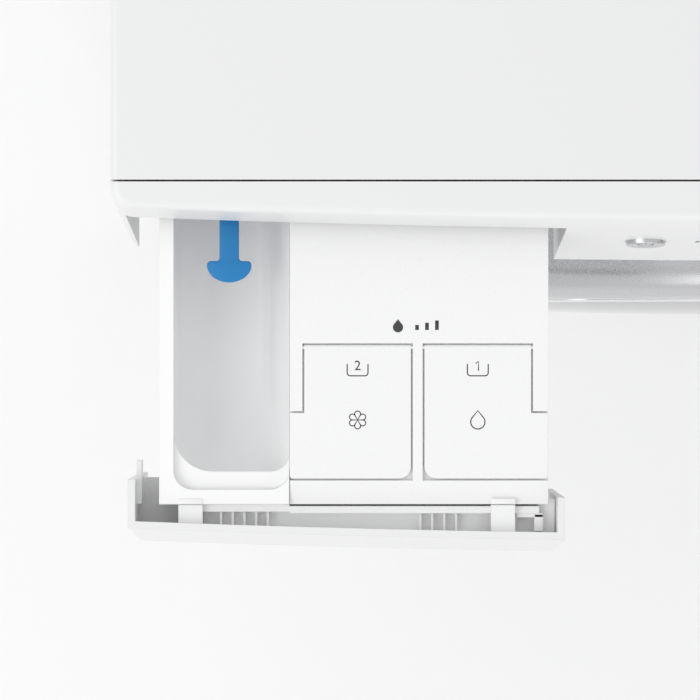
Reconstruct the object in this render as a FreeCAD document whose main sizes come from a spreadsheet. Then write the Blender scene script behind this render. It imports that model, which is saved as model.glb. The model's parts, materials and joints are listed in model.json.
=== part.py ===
import FreeCAD, Part
import math
import os
import re
import Sketcher

# Front load washing machine with an automatic dosing drawer, drawn with the drawer pulled out to its
# stop. Every sub-part is drawn with the front steel panel in the plane Y = 0, its front towards -Y,
# and is then placed so that the whole machine stands centred on the origin with its feet at Z = 0.

# ---------------------------------------------------------------------------------- driving sizes
SIZES = {
    # cabinet
    "machine_width": 598,
    "machine_height": 848,
    "cabinet_depth": 556,
    "base_height": 16,
    "base_wall": 3,
    "base_depth": 40,
    "base_clearance": 0.5,
    "plinth_height": 118,
    "plinth_wall": 3,
    "top_thickness": 26,
    "top_overhang": 4,
    "top_edge": 3.5,
    "sheet_metal": 1,
    "panel_gap": 0.6,
    "flange_width": 12,
    "front_return": 20,
    "foot_radius": 22,
    "foot_pad": 10,
    "foot_inset_side": 39,
    "foot_inset_end": 35,
    "foot_stem_radius": 5,
    "foot_stem": 26,
    "thread_clearance": 0.05,
    # control fascia
    "fascia_height": 134,
    "fascia_reach": 34,
    "fascia_lean": 14,
    "fascia_bow": 7500,
    "fascia_wall": 3,
    "fascia_corner": 9,
    "fascia_edge": 4,
    "seam_depth": -3.1,
    "seam_gap": 0.8,
    # drawer
    "drawer_travel": 137,
    "drawer_side_gap": 5.9,
    "drawer_width": 192.5,
    "drawer_drop": 30,
    "drawer_rise": 2,
    "drawer_gap": 0.8,
    "drawer_wall": 3.3,
    "drawer_left_return": 4.1,
    "drawer_right_return": -3.8,
    "drawer_shelf_drop": 30,
    "drawer_shelf_wall": 3,
    "hook_reach": 12.1,
    "hook_thickness": 2.2,
    "carrier_left": 19,
    "carrier_right": 3.7,
    "carrier_drop": 14,
    "carrier_floor": 2.4,
    "carrier_wall": 3.3,
    "carrier_band_drop": 5,
    "carrier_gap": 0.7,
    "carrier_lug": 4,
    "rib_left": 26.5,
    "rib_right": 57,
    "rib_width": 1.2,
    "rib_height": 6.5,
    "left_rib_pitch": 5.2,
    "right_rib_pitch": 5.3,
    "tongue_left": 8.4,
    "tongue_right": 25.3,
    "tongue_width": 10.8,
    "tongue_drop": 1.8,
    "tray_inset": 13.6,
    "tray_width": 171.9,
    "tray_height": 70,
    "tray_drop": 6,
    "tray_front": -7.1,
    "tray_length": 290,
    "tray_wall": 2.2,
    "pocket_inset": 6.4,
    "pocket_width": 51.1,
    "pocket_length": 150,
    "pocket_depth": 50,
    "pocket_rim": 6.6,
    "pocket_scoop": 44,
    "pocket_left_round": 17,
    "pocket_right_round": 8,
    "pocket_lean": 10,
    "ledge_width": 7.9,
    "ledge_depth": 4,
    "ledge_round": 8.5,
    "cover_thickness": 4,
    "cover_slope_depth": 2.4,
    "seat_gap": 0.2,
    "lid_width": 47.1,
    "lid_pitch": 53.1,
    "lid_inset": 6.4,
    "lid_front": 11.4,
    "lid_length": 59.1,
    "lid_thickness": 2.4,
    "lid_gap": 0.8,
    "lid_wing_length": 29,
    "lid_round": 5.3,
    "lid_small_round": 1.3,
    "lid_pin_radius": 0.8,
    "lid_pin_length": 2,
    "mouth_margin": 4,
    "pin_clearance": 0.05,
    "tab_stem_width": 8.6,
    "tab_head_width": 19.8,
    "tab_head_length": 9.5,
    "tab_reach": 58.5,
    "tab_thickness": 2.4,
    "tab_drop": 3.6,
    "tab_pin_radius": 1.5,
    "housing_clearance": 1.5,
    "housing_wall": 2.5,
    "housing_mouth": 13.5,
    "runner_gap": 0.3,
    "runner_width": 6,
    # controls
    "control_height": 779,
    "knob_x": 0,
    "knob_radius": 25,
    "knob_depth": 19,
    "knob_hub_radius": 10,
    "knob_standoff": 1,
    "power_x": -62,
    "power_radius": 9,
    "start_x": 226,
    "start_radius": 13,
    "button_depth": 9,
    "button_proud": 2,
    "button_clearance": 0.1,
    "window_left": 58,
    "window_width": 124,
    "window_height": 40,
    "window_wall": 2.4,
    "window_gap": 0.3,
    # tub, drum and drive
    "porthole_height": 405,
    "porthole_radius": 172,
    "porthole_lip": 14,
    "tub_radius": 268,
    "tub_wall": 3.5,
    "tub_front": 76,
    "tub_split": 236,
    "tub_back": 430,
    "tub_neck_radius": 182,
    "tub_neck_length": 12,
    "gasket_wall": 3,
    "gasket_lip_radius": 143.5,
    "gasket_gap": 0.4,
    "hub_radius": 48,
    "hub_length": 70,
    "drum_radius": 245,
    "drum_wall": 1.2,
    "drum_front": 94,
    "drum_back": 404,
    "drum_mouth": 153,
    "drum_cone": 14,
    "lifter_height": 48,
    "lifter_foot": 34,
    "lifter_crest": 18,
    "lifter_margin": 14,
    "shaft_radius": 15,
    "shaft_step_radius": 12.5,
    "bearing_radius": 31,
    "bearing_width": 16,
    "rear_bearing_radius": 26,
    "rear_bearing_width": 15,
    "press_clearance": 0.05,
    "running_clearance": 0.05,
    "spider_depth": 16,
    "spider_arm": 30,
    "spider_hub": 28,
    "pulley_radius": 140,
    "pulley_width": 18,
    "pulley_gap": 5,
    "belt_thickness": 3,
    "belt_width": 14,
    "motor_x": 190,
    "motor_drop": 285,
    "motor_radius": 55,
    "motor_front": 290,
    "motor_length": 130,
    "motor_bore": 36,
    "rotor_radius": 34,
    "motor_shaft_radius": 6,
    "motor_pulley_radius": 11,
    "damper_x": 205,
    "damper_front": 150,
    "damper_rear": 340,
    "damper_radius": 15,
    "damper_height": 120,
    "damper_rod_radius": 7,
    "damper_lug_drop": 182,
    "spring_x": 245,
    "spring_y": 312,
    "spring_radius": 9,
    "spring_wire": 3,
    "spring_lug": 128,
    "rail_depth": 25,
    "rail_height": 24,
    "weight_front": 34,
    "weight_thickness": 30,
    "weight_inner": 190,
    "weight_outer": 255,
    "heater_radius": 4,
    "heater_spread": 22,
    "heater_length": 230,
    # door
    "door_radius": 235,
    "door_depth": 50,
    "door_gap": 4,
    "door_wall": 4,
    "door_round": 20,
    "door_window": 165,
    "door_cover_wall": 3,
    "door_dome": 6,
    "door_plate": 4,
    "door_plate_back": 6,
    "bowl_radius": 140,
    "bowl_bottom_radius": 118,
    "bowl_depth": 62,
    "bowl_wall": 4,
    "bowl_flange": 18,
    "hinge_x": 247,
    "hinge_out": 18,
    "hinge_radius": 7,
    "hinge_pin_radius": 4,
    "hinge_knuckle": 28,
    "hinge_ear": 12,
    "hook_x": 197,
    "hook_pivot": 13,
    "hook_length": 35,
    "hook_pin_radius": 2,
    "handle_height": 90,
    # water and drain
    "filter_x": 210,
    "filter_height": 68,
    "filter_radius": 26,
    "filter_flange": 30,
    "pump_radius": 34,
    "pump_front": 26,
    "pump_back": 125,
    "flap_left": 150,
    "flap_width": 120,
    "flap_bottom": 28,
    "flap_height": 78,
    "flap_gap": 0.8,
    "flap_pin_radius": 1.5,
    "inlet_x": -205,
    "inlet_height": 770,
    "inlet_radius": 13.2,
    "inlet_bore": 9,
    "inlet_reach": 12,
    "drain_x": 265,
    "drain_height": 640,
    "drain_radius": 10,
    "drain_bore": 8,
    "drain_bend": 18,
    "sump_x": 20,
    "sump_y": 95,
    "sump_radius": 14,
    "hose_wall": 4,
    "sump_bend": 34,
    "fill_x": -150,
    "fill_y": 256,
    "fill_radius": 14,
    "fill_low": 640,
    "gland_x": 200,
    "gland_radius": 9,
    "transit_x": 180,
    "transit_low": 250,
    "transit_high": 560,
    "transit_radius": 14,
    "screw_radius": 2,
    "screw_head": 4.5,
    # rear sheet and front sheet
    "screw_share_low": 0.37,
    "screw_share_high": 0.65,
    "slot_left": 10,
    "slot_right": 14,
    "slot_half": 12,
    # release tab and knob
    "tab_shoulder_share": 0.72,
    "tab_shoulder_rise": 3.6,
    "knob_taper": 3,
    # dosing pumps
    "dosing_pump_left": 62,
    "dosing_pump_right": 22,
    "dosing_pump_half": 17,
    "dosing_pump_depth": 28,
    "dosing_pump_rise": 6,
    "dosing_pump_drop": 24,
    "dosing_drive_radius": 12,
    "dosing_drive_start": 20,
    "dosing_drive_end": 54,
    "dosing_drive_rise": 26,
    # inlet valve and gland
    "valve_half": 20,
    "valve_reach": 54,
    "valve_rise": 22,
    "valve_pipe_radius": 6,
    "valve_pipe_end": 50,
    "valve_flange_lip": 4,
    "gland_back": 8,
    "gland_lip": 4,
    "gland_step": 4,
    "gland_bevel": 3,
    "gland_reach": 7,
    # tub lugs and necks
    "sump_drop": 18,
    "sump_rise": 10,
    "sump_bore_rise": 30,
    "shell_overlap": 40,
    "hub_room": 5,
    "spring_lug_reach": 30,
    "spring_lug_height": 34,
    "motor_lug_left": 70,
    "motor_lug_right": 5,
    "motor_lug_start": 10,
    "motor_lug_end": 45,
    "motor_lug_bite": 12,
    "motor_lug_top": 100,
    "fill_foot": 40,
    "fill_overlap": 16,
    "damper_lug_wide": 12,
    "damper_lug_deep": 10,
    "damper_lug_root": 26,
    # weights, heater and dampers
    "weight_gap": 60,
    "weight_peg_radius": 9,
    "weight_peg_seat": 4,
    "weight_peg_inset": 35,
    "block_left": 80,
    "block_right": 170,
    "block_front": 24,
    "block_back": 100,
    "block_low": 190,
    "block_rise": 46,
    "heater_tail": 14,
    "heater_plate_margin": 10,
    "heater_plate": 4,
    "heater_plate_drop": 5,
    "heater_plate_rise": 12,
    "damper_bore_start": 24,
    "damper_rod_start": 50,
    # drive
    "spider_margin": 8,
    "spider_hub_step": 2,
    "shaft_shoulder": 2,
    "shaft_tail": 4,
    "pulley_rim": 8,
    "pulley_hub_step": 2,
    "pulley_web_front": 7,
    "pulley_web_back": 11,
    "motor_wall": 8,
    "motor_cap": 2,
    "rotor_inset": 10,
    "axle_inset": 4,
    # door fittings
    "cut_margin": 5,
    "hinge_notch_depth": 10,
    "hinge_notch_gap": 1.5,
    "grip_depth": 30,
    "grip_way_depth": 40,
    "grip_wall": 4,
    "bowl_bend_depth": 14,
    "bowl_bend_reach": 22,
    "bowl_inner_reach": 24,
    "bowl_inner_bend": 16,
    "cover_seat_lap": 6,
    "hook_way_left": 8,
    "hook_way_right": 10,
    "hook_way_drop": 12,
    "hook_ear_inner": 9,
    "hook_ear_outer": 12,
    "hook_ear_half": 5,
    "hinge_arm_lap": 20,
    "hinge_link": 12,
    "hook_pin_half": 11,
    "hook_boss_radius": 5,
    "hook_boss_half": 8.5,
    "hook_half": 3,
    "hook_side": 6,
    "hook_nose_length": 8,
    "hook_nose_reach": 9,
    "hinge_foot_left": 16,
    "hinge_foot_right": 8,
    "hinge_foot_rise": 22,
    "hinge_side_gap": 0.5,
    "hinge_ear_half": 5,
    "lock_left": 16,
    "lock_right": 34,
    "lock_back_gap": 4,
    "lock_half": 34,
    "lock_way_left": 12,
    "lock_way_right": 20,
    "lock_way_end": 4,
    "lock_way_half": 9,
    "lock_bar_left": 4,
    "lock_bar_gap": 9,
    "lock_bar_half": 10,
    # gasket
    "gasket_fold": 18,
    "gasket_start": 2,
    "gasket_step": 30,
    "gasket_waist": 160,
    # drain pump
    "pump_chamber": 44,
    "pump_mouth_wall": 5,
    "pump_neck": 34,
    "pump_leg_half": 15,
    "pump_leg_start": 60,
    "pump_leg_end": 10,
    "pump_leg_lap": 6,
    "pump_stub": 14,
    "pump_stub_lap": 8,
    "pump_outlet_lap": 6,
    "sump_hose_lap": 4,
    "sump_hose_end": 2,
}

TOLERANCE = 0.01
LEAST_RUN = 5
UPRIGHT_SHARE = 5
LEFT_RIBS = 5
RIGHT_RIBS = 4

doc = FreeCAD.newDocument("front_load_washing_machine")
sheet = doc.addObject("Spreadsheet::Sheet", "dims")
for row, (alias, size) in enumerate(SIZES.items(), start=1):
    sheet.set(f"A{row}", alias)
    sheet.set(f"B{row}", str(size))
    sheet.setAlias(f"B{row}", alias)
doc.recompute()

# ------------------------------------------------------------------------- sizes that follow others
HALF = "(machine_width / 2)"
TOP_UNDER = "(machine_height - top_thickness)"
SIDE_TOP = f"({TOP_UNDER} - panel_gap)"
FASCIA_LOW = "(machine_height - fascia_height)"
FRONT_TOP = f"({FASCIA_LOW} - 2 * sheet_metal)"
SIDE_FRONT = "(front_return + panel_gap)"
REAR_INNER = "(cabinet_depth - sheet_metal)"

DRAWER_LEFT = f"(drawer_side_gap - {HALF})"
DRAWER_RIGHT = f"({DRAWER_LEFT} + drawer_width)"
DRAWER_TOP = "(machine_height - drawer_drop)"
DRAWER_LOW = f"({FASCIA_LOW} + drawer_rise)"
SHELF_TOP = f"({DRAWER_TOP} - drawer_shelf_drop)"
TRAY_LEFT = f"({DRAWER_LEFT} + tray_inset)"
TRAY_RIGHT = f"({TRAY_LEFT} + tray_width)"
TRAY_TOP = f"({DRAWER_TOP} - tray_drop)"
TRAY_LOW = f"({TRAY_TOP} - tray_height)"
TRAY_BACK = "(tray_front + tray_length)"
POCKET_LEFT = f"({TRAY_LEFT} + pocket_inset)"
POCKET_RIGHT = f"({POCKET_LEFT} + pocket_width)"
POCKET_FRONT = "(tray_front + pocket_rim)"
POCKET_BACK = f"({POCKET_FRONT} + pocket_length)"
COVER_LOW = f"({TRAY_TOP} - cover_thickness)"
COVER_LEFT = f"({POCKET_RIGHT} + seat_gap)"
TANK_LEFT = f"({POCKET_RIGHT} + tray_wall)"
TANK_RIGHT = f"({TRAY_RIGHT} - tray_wall)"
TANK_MIDDLE = f"({COVER_LEFT} + lid_inset + lid_width + (lid_pitch - lid_width) / 2)"
LID_FRONT = "(tray_front + lid_front)"
LID_AXIS_Y = f"({LID_FRONT} + lid_length - lid_thickness / 2)"
LID_AXIS_Z = f"({TRAY_TOP} - lid_thickness / 2)"
TAB_AXIS_Y = f"({POCKET_BACK} + 2 * tray_wall)"
TAB_AXIS_Z = f"({TRAY_TOP} - tab_drop - tab_thickness / 2)"
PULLEY_FRONT = "(tub_back + hub_length + pulley_gap)"
DAMPER_LUG = "(porthole_height - damper_lug_drop)"
HINGE_Y = "(-hinge_out)"
MOTOR_BACK = "(motor_front + motor_length)"


def sag(x, inset="0"):
    """How far the bowed front lies back at a distance x from the machine's middle."""
    return f"(fascia_bow - {inset} - sqrt((fascia_bow - {inset})^2 - ({x})^2))"


def fascia_y(z, inset="0"):
    """Where the leaning front lies at height z, in the machine's middle plane."""
    return f"({inset} - fascia_reach + fascia_lean * (({z}) - {FASCIA_LOW}) / fascia_height)"


# The drawer front, pulled out, is the foremost point, and the inlet thread is the rearmost.
FOREMOST = f"({fascia_y(DRAWER_LOW)} + {sag(DRAWER_RIGHT)} - drawer_travel)"
FRONT_Y = f"(-({FOREMOST} + cabinet_depth + inlet_reach) / 2)"
LEAN_ANGLE = "atan(fascia_lean / fascia_height)"

# -------------------------------------------------------------------------------- drawing functions
PARTS = []
BASES = {}


def bound(text):
    """The text of a size, with each sheet name in it turned into a reference to its cell."""
    return re.sub(r"[A-Za-z_]\w*", lambda word: cell(word.group(0)), text)


def cell(word):
    """The reference to a sheet cell, or the word itself if no cell has that name."""
    return "dims." + word if word in SIZES else word


def number(text):
    """The value that the text of a size has now."""
    return float(sheet.evalExpression(bound(text)))


def bind(obj, prop, text):
    """Tie one property of an object to the sheet."""
    obj.setExpression(prop, bound(text))


def move(obj, x="0", y="0", z="0"):
    """Tie an object's place to the sheet, and remember it for part()."""
    BASES[obj.Name] = (x, y, z)
    for axis, text in zip("xyz", (x, y, z)):
        bind(obj, ".Placement.Base." + axis, text)


def part(label, obj, y="0", z="0"):
    """Name a finished sub-part and place it in the machine, with its own shift along Y and Z."""
    base = BASES.get(obj.Name, ("0", "0", "0"))
    move(obj, base[0], f"{base[1]} + {FRONT_Y} + ({y})", f"{base[2]} + ({z})")
    obj.Label = label
    PARTS.append(obj)
    return obj


def box(x, y, z):
    """A block given by its low and high limit along each axis."""
    obj = doc.addObject("Part::Box", "block")
    for prop, (low, high) in zip(("Length", "Width", "Height"), (x, y, z)):
        bind(obj, prop, f"({high}) - ({low})")
    move(obj, x[0], y[0], z[0])
    return obj


def rod(axis, radius, low, high, first, second):
    """A cylinder along X, Y or Z from low to high, at its two other coordinates in X, Y, Z order."""
    obj = doc.addObject("Part::Cylinder", "rod")
    bind(obj, "Radius", radius)
    bind(obj, "Height", f"({high}) - ({low})")
    turn = {"X": (FreeCAD.Vector(0, 1, 0), 90), "Y": (FreeCAD.Vector(1, 0, 0), -90),
            "Z": (FreeCAD.Vector(0, 0, 1), 0)}
    obj.Placement.Rotation = FreeCAD.Rotation(*turn[axis])
    place = [first, second]
    place.insert("XYZ".index(axis), low)
    move(obj, *place)
    return obj


def fuse(*shapes):
    """One object from several."""
    obj = doc.addObject("Part::MultiFuse", "joined")
    obj.Shapes = list(shapes)
    return obj


def cut(base, *tools):
    """An object with others taken out of it."""
    obj = doc.addObject("Part::Cut", "cut")
    obj.Base = base
    obj.Tool = tools[0] if len(tools) == 1 else fuse(*tools)
    return obj


def common(base, tool):
    """What two objects share."""
    obj = doc.addObject("Part::Common", "shared")
    obj.Base = base
    obj.Tool = tool
    return obj


def group(*shapes):
    """Separate solids that make one sub-part."""
    obj = doc.addObject("Part::Compound", "group")
    obj.Links = list(shapes)
    return obj


def new_body(name):
    """An empty body for sketched features."""
    return doc.addObject("PartDesign::Body", name)


def outline(body, plane, points, at="0"):
    """A closed sketch on one of the body's own planes, moved off it along the plane's normal.

    Each point is (across, up), or (across, up, radius) where an arc runs to the next point: its
    centre is on the left of that run for a radius as given, and on the right for ("-", radius).
    """
    sketch = body.newObject("Sketcher::SketchObject", "outline")
    support = [item for item in body.Origin.OriginFeatures if item.Role == plane][0]
    sketch.AttachmentSupport = (support, [""])
    sketch.MapMode = "FlatFace"
    bind(sketch, "AttachmentOffset.Base.z", at)
    spots = [FreeCAD.Vector(number(item[0]), number(item[1]), 0) for item in points]
    ends = []
    for index, item in enumerate(points):
        start = spots[index]
        stop = spots[(index + 1) % len(points)]
        if len(item) == 2:
            sketch.addGeometry(Part.LineSegment(start, stop), False)
            ends.append((1, 2))
            continue
        right = isinstance(item[2], tuple)
        radius = item[2][1] if right else item[2]
        arc, order = arc_between(start, stop, number(radius), right)
        sketch.addGeometry(arc, False)
        ends.append(order)
        bind(sketch,
             f"Constraints[{sketch.addConstraint(Sketcher.Constraint('Radius', index, number(radius)))}]",
             radius)
    for index, item in enumerate(points):
        before = (index - 1) % len(points)
        sketch.addConstraint(Sketcher.Constraint("Coincident", before, ends[before][1], index,
                                                 ends[index][0]))
        for kind, text, value in (("DistanceX", item[0], spots[index].x),
                                  ("DistanceY", item[1], spots[index].y)):
            held = sketch.addConstraint(Sketcher.Constraint(kind, -1, 1, index, ends[index][0], value))
            bind(sketch, f"Constraints[{held}]", text)
    return sketch


def arc_between(start, stop, radius, right):
    """The shorter arc between two points, and which of its ends come first and last."""
    run = stop - start
    side = FreeCAD.Vector(run.y, -run.x, 0) if right else FreeCAD.Vector(-run.y, run.x, 0)
    side.normalize()
    centre = (start + stop) * 0.5 + side * math.sqrt(max(radius**2 - run.Length**2 / 4, 0))
    circle = Part.Circle(centre, FreeCAD.Vector(0, 0, 1), radius)
    first, last = (stop, start) if right else (start, stop)
    angles = [math.atan2(spot.y - centre.y, spot.x - centre.x) for spot in (first, last)]
    return Part.ArcOfCircle(circle, *angles), (2, 1) if right else (1, 2)


def pad(body, sketch, length, reverse=False):
    """Raise a sketch along its plane's normal, or against it."""
    feature = body.newObject("PartDesign::Pad", "pad")
    feature.Profile = sketch
    bind(feature, "Length", length)
    feature.Reversed = reverse
    return feature


def prism(name, plane, points, low, high):
    """A body raised from an outline between two planes. XZ outlines face -Y, so they are reversed."""
    body = new_body(name)
    flip = plane == "XZ_Plane"
    sketch = outline(body, plane, points, f"-({low})" if flip else low)
    pad(body, sketch, f"({high}) - ({low})", flip)
    return body


def spin(name, points, x="0", z="0"):
    """A body turned about an axis along Y, from an outline of (place along Y, radius)."""
    body = new_body(name)
    sketch = outline(body, "YZ_Plane", points)
    feature = body.newObject("PartDesign::Revolution", "turned")
    feature.Profile = sketch
    feature.ReferenceAxis = (sketch, ["H_Axis"])
    feature.Angle = 360
    move(body, x, "0", z)
    return body


def ring(points_name, inner, outer, low, high, x="0", z="0"):
    """A plain ring about an axis along Y."""
    return spin(points_name, [(low, inner), (low, outer), (high, outer), (high, inner)], x, z)


def round_edges(body, radius, chosen):
    """Round the edges of a body's last feature that a test picks out."""
    doc.recompute()
    base = body.Tip
    names = [f"Edge{index}" for index, edge in enumerate(base.Shape.Edges, start=1) if chosen(edge)]
    feature = body.newObject("PartDesign::Fillet", "rounded")
    feature.Base = (base, names)
    bind(feature, "Radius", radius)
    return feature


def near(value, text):
    """Whether a coordinate lies where a size says."""
    return abs(value - number(text)) < TOLERANCE


def upright(edge, x=None, y=None):
    """Whether an edge runs up and down, at the place given."""
    limits = edge.BoundBox
    middle = limits.Center
    stands = limits.ZLength > UPRIGHT_SHARE * max(limits.XLength, limits.YLength, TOLERANCE)
    return stands and (x is None or near(middle.x, x)) and (y is None or near(middle.y, y))


def bent_tube(points, outer, inner, bend):
    """A tube of straight runs joined by arcs of one radius, worked out from the sheet's values."""
    spots = [FreeCAD.Vector(*[number(text) for text in point]) for point in points]
    reach = number(bend)
    edges = []
    start = spots[0]
    for before, corner, after in zip(spots, spots[1:], spots[2:]):
        back = (before - corner).normalize()
        ahead = (after - corner).normalize()
        enter = corner + back * reach
        leave = corner + ahead * reach
        middle = corner + (back + ahead) * reach * (1 - math.sqrt(0.5))
        edges.append(Part.LineSegment(start, enter).toShape())
        edges.append(Part.Arc(enter, middle, leave).toShape())
        start = leave
    edges.append(Part.LineSegment(start, spots[-1]).toShape())
    path = Part.Wire(edges)
    heading = spots[1] - spots[0]
    solids = []
    for radius in (number(outer), number(inner)):
        section = Part.Wire(Part.makeCircle(radius, spots[0], heading))
        solids.append(path.makePipeShell([section], True, False))
    obj = doc.addObject("Part::Feature", "tube")
    obj.Shape = solids[0].cut(solids[1])
    return obj


# ------------------------------------------------------------------------------------------ cabinet
def build_cabinet():
    """The base, feet, side, front and rear sheets, top rails, plinth and worktop."""
    inner = f"({HALF} - sheet_metal - base_clearance)"
    pan = box((f"-{inner}", inner), ("2 * base_wall", f"{REAR_INNER} - 2 * sheet_metal - base_clearance"),
              ("base_height", "base_height + base_depth"))
    well = box((f"base_wall - {inner}", f"{inner} - base_wall"),
               ("3 * base_wall", f"{REAR_INNER} - 2 * sheet_metal - base_clearance - base_wall"),
               ("base_height + base_wall", "base_height + 2 * base_depth"))
    access = box(("flap_left - 3 * base_wall", "flap_left + flap_width + 3 * base_wall"),
                 ("0", "4 * base_wall"), ("base_height + 2 * base_wall", "base_height + 2 * base_depth"))
    corners = [(side, end) for side in ("-1", "1")
               for end in ("foot_inset_end", "cabinet_depth - foot_inset_end")]
    holes = []
    feet = []
    for side, end in corners:
        across = f"{side} * ({HALF} - foot_inset_side)"
        holes.append(rod("Z", "foot_stem_radius + thread_clearance", "0", "base_height + base_depth",
                         across, end))
        sole = rod("Z", "foot_radius", "0", "foot_pad", across, end)
        stem = rod("Z", "foot_stem_radius", "foot_pad / 2", "foot_pad + foot_stem", across, end)
        nut = rod("Z", "2 * foot_stem_radius", "base_height - foot_pad / 2", "base_height", across, end)
        feet.append(fuse(sole, stem, nut))
    part("base_frame", cut(pan, well, access, *holes))
    part("levelling_feet", group(*feet))

    for label, side in (("side_panel_left", -1), ("side_panel_right", 1)):
        wide = sorted((f"{side} * {HALF}", f"{side} * ({HALF} - sheet_metal)"), key=number)
        fold = sorted((f"{side} * {HALF}", f"{side} * ({HALF} - flange_width)"), key=number)
        heights = ("base_height + 2 * sheet_metal", SIDE_TOP)
        back = f"({REAR_INNER} - sheet_metal / 2)"
        wall = box(wide, (SIDE_FRONT, back), heights)
        folds = [
            box(fold, (SIDE_FRONT, f"{SIDE_FRONT} + sheet_metal"),
                ("plinth_height", f"{TOP_UNDER} - rail_height - 3 * panel_gap")),
            box(fold, (f"{back} - sheet_metal", back),
                ("base_height + base_depth + sheet_metal", SIDE_TOP)),
            box(fold, (SIDE_FRONT, back), (f"{SIDE_TOP} - sheet_metal", SIDE_TOP)),
        ]
        part(label, cut(fuse(wall, *folds), *screw_rods("screw_radius + thread_clearance",
                                                        f"{back} - 4 * sheet_metal")))

    build_rear_panel()
    build_front_panel()
    build_plinth()

    rail_ends = (f"sheet_metal + panel_gap / 2 - {HALF}", f"{HALF} - sheet_metal - panel_gap / 2")
    rail_high = f"({SIDE_TOP} - sheet_metal - panel_gap / 2)"
    rails = []
    for centre in ("spring_y", f"{REAR_INNER} - rail_depth"):
        near_y = f"({centre} - rail_depth / 2)"
        far_y = f"({centre} + rail_depth / 2)"
        whole = box(rail_ends, (near_y, far_y), (f"{rail_high} - rail_height", rail_high))
        hollow = box((f"-{HALF}", HALF), (f"{near_y} + sheet_metal", f"{far_y} - sheet_metal"),
                     (f"{rail_high} - 2 * rail_height", f"{rail_high} - sheet_metal"))
        rails.append(cut(whole, hollow))
    part("top_rails", group(*rails))

    top = prism("worktop_body", "XY_Plane",
                [(f"-{HALF}", "seam_depth + seam_gap"), (HALF, "seam_depth + seam_gap"),
                 (HALF, "cabinet_depth + top_overhang"), (f"-{HALF}", "cabinet_depth + top_overhang")],
                TOP_UNDER, "machine_height")
    round_edges(top, "top_edge", lambda edge: edge.BoundBox.ZLength < TOLERANCE
                and near(edge.BoundBox.ZMin, "machine_height")
                and not near(edge.BoundBox.YMax, "seam_depth + seam_gap"))
    part("worktop", top)


def screw_rods(radius, low):
    """Cylinders along the rear panel's screws, from low to its outer face."""
    heights = ("base_height + 2 * base_depth", "machine_height * screw_share_low",
               "machine_height * screw_share_high", f"{SIDE_TOP} - 2 * base_depth")
    spots = [(f"{side} * ({HALF} - flange_width / 2)", z) for side in ("-1", "1") for z in heights]
    return [rod("Y", radius, low, "cabinet_depth + sheet_metal", x, z) for x, z in spots]


def transit_spots():
    """The four places where transit bolts hold the tub on the way to the shop."""
    return [(f"{side} * transit_x", z) for side in ("-1", "1") for z in ("transit_low", "transit_high")]


def build_rear_panel():
    """The rear sheet with its openings, and the caps and screws in it."""
    reach = (REAR_INNER, "cabinet_depth")
    sheet_wide = f"({HALF} - 1.5 * sheet_metal)"
    plate = box((f"-{sheet_wide}", sheet_wide), reach, ("base_height + 2 * sheet_metal", SIDE_TOP))
    wide_reach = (f"{REAR_INNER} - sheet_metal", "cabinet_depth + sheet_metal")
    openings = [rod("Y", "transit_radius", *wide_reach, x, z) for x, z in transit_spots()]
    openings.append(rod("Y", "inlet_radius + button_proud", *wide_reach, "inlet_x", "inlet_height"))
    openings.append(rod("Y", "drain_radius + button_proud", *wide_reach, "drain_x", "drain_height"))
    openings.append(rod("Y", "gland_radius", *wide_reach, "gland_x", "inlet_height"))
    part("rear_panel", cut(plate, *openings, *screw_rods("screw_radius + thread_clearance",
                                                         REAR_INNER + " - sheet_metal")))

    caps = []
    for x, z in transit_spots():
        caps.append(spin("cap", [(f"{REAR_INNER} - 4 * sheet_metal", "0"),
                                 (f"{REAR_INNER} - 4 * sheet_metal", "transit_radius - button_clearance"),
                                 ("cabinet_depth + seat_gap", "transit_radius - button_clearance"),
                                 ("cabinet_depth + seat_gap", "transit_radius + 4 * sheet_metal"),
                                 ("cabinet_depth + 2 * sheet_metal", "transit_radius + 3 * sheet_metal"),
                                 ("cabinet_depth + 2 * sheet_metal", "0")], x, z))
    part("transit_caps", group(*caps))

    screws = []
    for shank in screw_rods("screw_radius", f"{REAR_INNER} - 4 * sheet_metal"):
        x, _, z = BASES[shank.Name]
        head = rod("Y", "screw_head", "cabinet_depth + seat_gap", "cabinet_depth + 2.5 * sheet_metal", x, z)
        screws.append(fuse(shank, head))
    part("panel_screws", group(*screws))


def build_front_panel():
    """The front sheet, folded back at its sides, with a lipped porthole and a slot for the door's hook."""
    heights = ("plinth_height", FRONT_TOP)
    pan = cut(box((f"-{HALF}", HALF), ("0", "front_return"), heights),
              box((f"sheet_metal - {HALF}", f"{HALF} - sheet_metal"), ("sheet_metal", "2 * front_return"),
                  ("plinth_height - sheet_metal", f"{FRONT_TOP} + sheet_metal")))
    lip = rod("Y", "porthole_radius + sheet_metal", "0", "porthole_lip", "0", "porthole_height")
    hole = rod("Y", "porthole_radius", "-sheet_metal", "2 * porthole_lip", "0", "porthole_height")
    slot = box(("hook_x - slot_left", "hook_x + slot_right"), ("-sheet_metal", "2 * sheet_metal"),
               ("porthole_height - slot_half", "porthole_height + slot_half"))
    part("front_panel", cut(fuse(pan, lip), hole, slot))


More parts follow.
